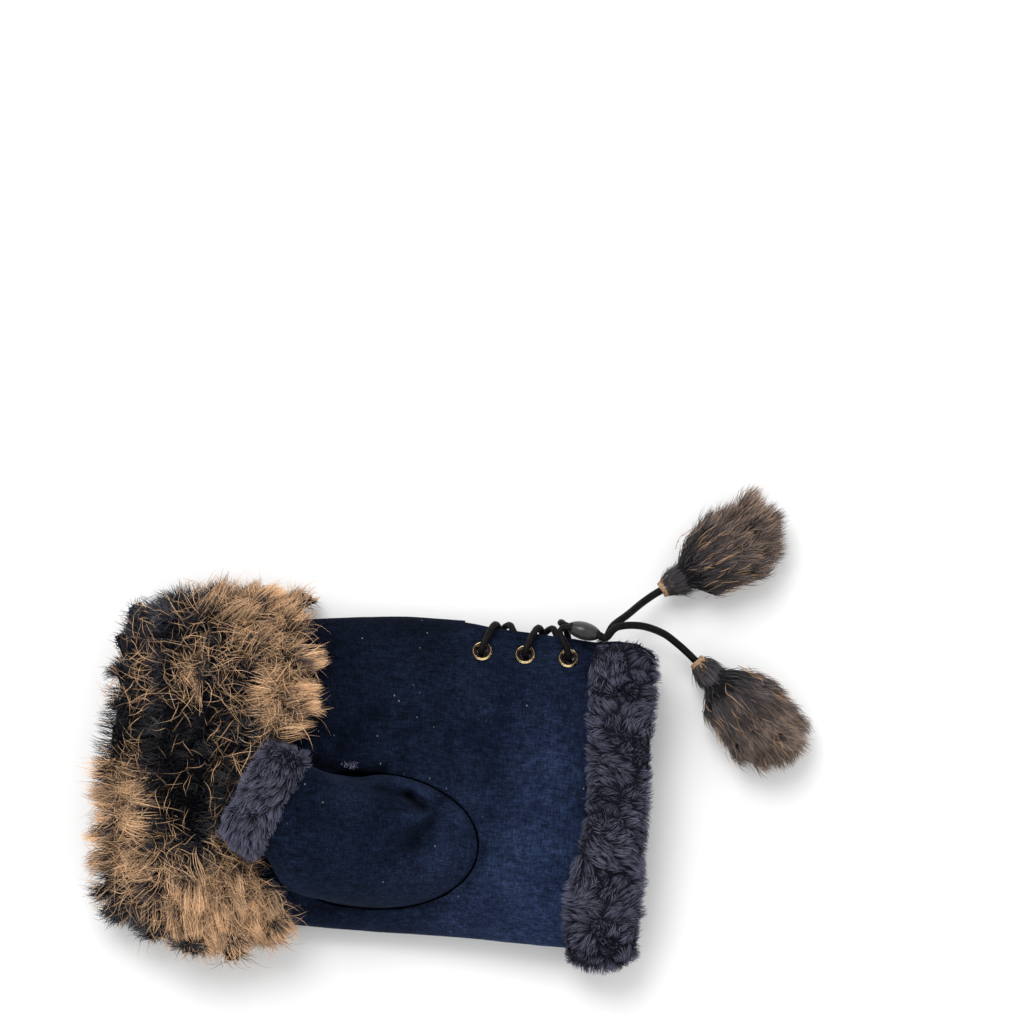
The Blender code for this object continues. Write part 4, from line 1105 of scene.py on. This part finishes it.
for letter, route in ROUTES.items():
    strand, strand_length = lay_cord("free_end_" + letter, route)

    neck = finer("skin_" + letter, "rolled_skin_" + letter, 2)
    neck.data.materials.append(hide)
    ripple(neck, 0.0016, 0.0007)

    ground = finer("pompom_" + letter, "pompom_ground_" + letter, 0)
    ground.data.materials.append(pompom_backing)
    smooth_ground(ground, POMPOM_VOXEL, POMPOM_ROUNDS)

    end, before = np.array(route[-1]), np.array(route[-2])
    axis = unit(end - before)

    def down(points):
        """How far down the pompom each point lies: 0 at its neck, 1 at its end."""
        return np.clip((points - end) @ axis / POMPOM_REACH, 0, 1)

    sink(ground, lambda spots, outward: POMPOM_SINK * down(spots))

    roots, normals = scatter(ground, POMPOM_HAIRS, draw)
    neck_roots, neck_normals = scatter(neck, NECK_HAIRS, draw)
    past_end = (neck_roots - end) @ axis
    covered = (past_end > NECK_RIM) & (past_end < NECK_END)
    roots = np.concatenate([roots, neck_roots[covered]])
    normals = np.concatenate([normals, neck_normals[covered]])
    share = down(roots)[:, None]
    count = len(roots)
    ways = unit(normals * (0.26 + 0.5 * share) + axis * 1.0 + draw.normal(0, 0.24, (count, 3)))
    lay = unit(ways + axis * 0.4 + draw.normal(0, 0.28, (count, 3)))
    lengths = POMPOM_LENGTH * draw.uniform(0.35, 1.2, count) * (0.75 + 0.4 * share[:, 0])
    lines = grow(roots, ways, lay, lengths, PILE_STEPS, 0.03, 0.8, draw)
    lines, own = gather(lines, POMPOM_TUFTS, POMPOM_PULL, draw)
    light = draw.uniform(0.5, 1.3, count) * draw.uniform(0.50, 1.45, count)[own]
    worn = (draw.uniform(0, 1, count) ** 1.8)[:, None] * share**2
    tips = np.array(POMPOM_TIP) * (1 - worn) + np.array(POMPOM_END) * worn
    tints = shade(POMPOM_ROOT, tips, PILE_STEPS, 1.0, light)
    widths = np.full(count, POMPOM_WIDTH)
    pile = draw_hairs("pompom_pile_" + letter, lines, widths, tints, pompom_fur, draw)

    roots, normals = scatter(ground, POMPOM_GUARDS * 3, draw)
    share = down(roots)
    chosen = np.flatnonzero((normals[:, 2] > -0.3) & (share > 0.30))[:POMPOM_GUARDS]
    normals, share = normals[chosen], share[chosen, None]
    roots = roots[chosen] + normals * POMPOM_GUARD_RISE
    count = len(roots)
    ways = unit(normals * 0.45 + axis + draw.normal(0, 0.25, (count, 3)))
    lay = unit(ways * 0.5 + axis + draw.normal(0, 0.35, (count, 3)) - normals * 0.1)
    lengths = POMPOM_GUARD * draw.uniform(0.3, 1.0, count) * (1 - 0.4 * share[:, 0])
    lines = grow(roots, ways, lay, lengths, POMPOM_GUARD_STEPS, 0.028, 0.9, draw)
    tints = shade(FUR_TAN_ROOT, FUR_TAN_TIP, POMPOM_GUARD_STEPS, 0.7, draw.uniform(0.4, 1.0, count))
    widths = np.full(count, POMPOM_GUARD_WIDTH)
    guards = draw_hairs("pompom_guards_" + letter, lines, widths, tints, pompom_fur, draw)

    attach(strand, "root")
    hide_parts("strand_" + letter)
    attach(neck, "root")
    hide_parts("skin_" + letter)
    for piece in (ground, pile, guards):
        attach(piece, "root")
        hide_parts("pompom_" + letter)


# The surface that the glove lies on, and a soft studio light from the upper left of the picture.
FLOOR_DROP = 0.0004
FLOOR_WHITE = (0.85, 0.85, 0.85)
ROOM_LIGHT = 0.96
KEY_PLACE = (-0.35, 0.85, 1.30)
KEY_SIZE = 0.8
KEY_POWER = 16.0

bpy.ops.mesh.primitive_plane_add(size=6, location=(0, 0, -FLOOR_DROP))
floor = bpy.context.object
floor.name = "floor"
paper, paper_shader, _ = new_finish("pale_floor", 0.9)
paper_shader.inputs["Base Color"].default_value = (*FLOOR_WHITE, 1)
paper_shader.inputs["Specular IOR Level"].default_value = 0.1
floor.data.materials.append(paper)

world = bpy.data.worlds.new("studio")
bpy.context.scene.world = world
world.use_nodes = True
world.node_tree.nodes["Background"].inputs["Color"].default_value = (1, 1, 1, 1)
world.node_tree.nodes["Background"].inputs["Strength"].default_value = ROOM_LIGHT

bpy.ops.object.light_add(type="AREA", location=KEY_PLACE)
key = bpy.context.object
key.data.size = KEY_SIZE
key.data.energy = KEY_POWER
key.rotation_euler = (-Vector(KEY_PLACE)).to_track_quat("-Z", "Y").to_euler()
bpy.context.scene.view_settings.view_transform = "Standard"
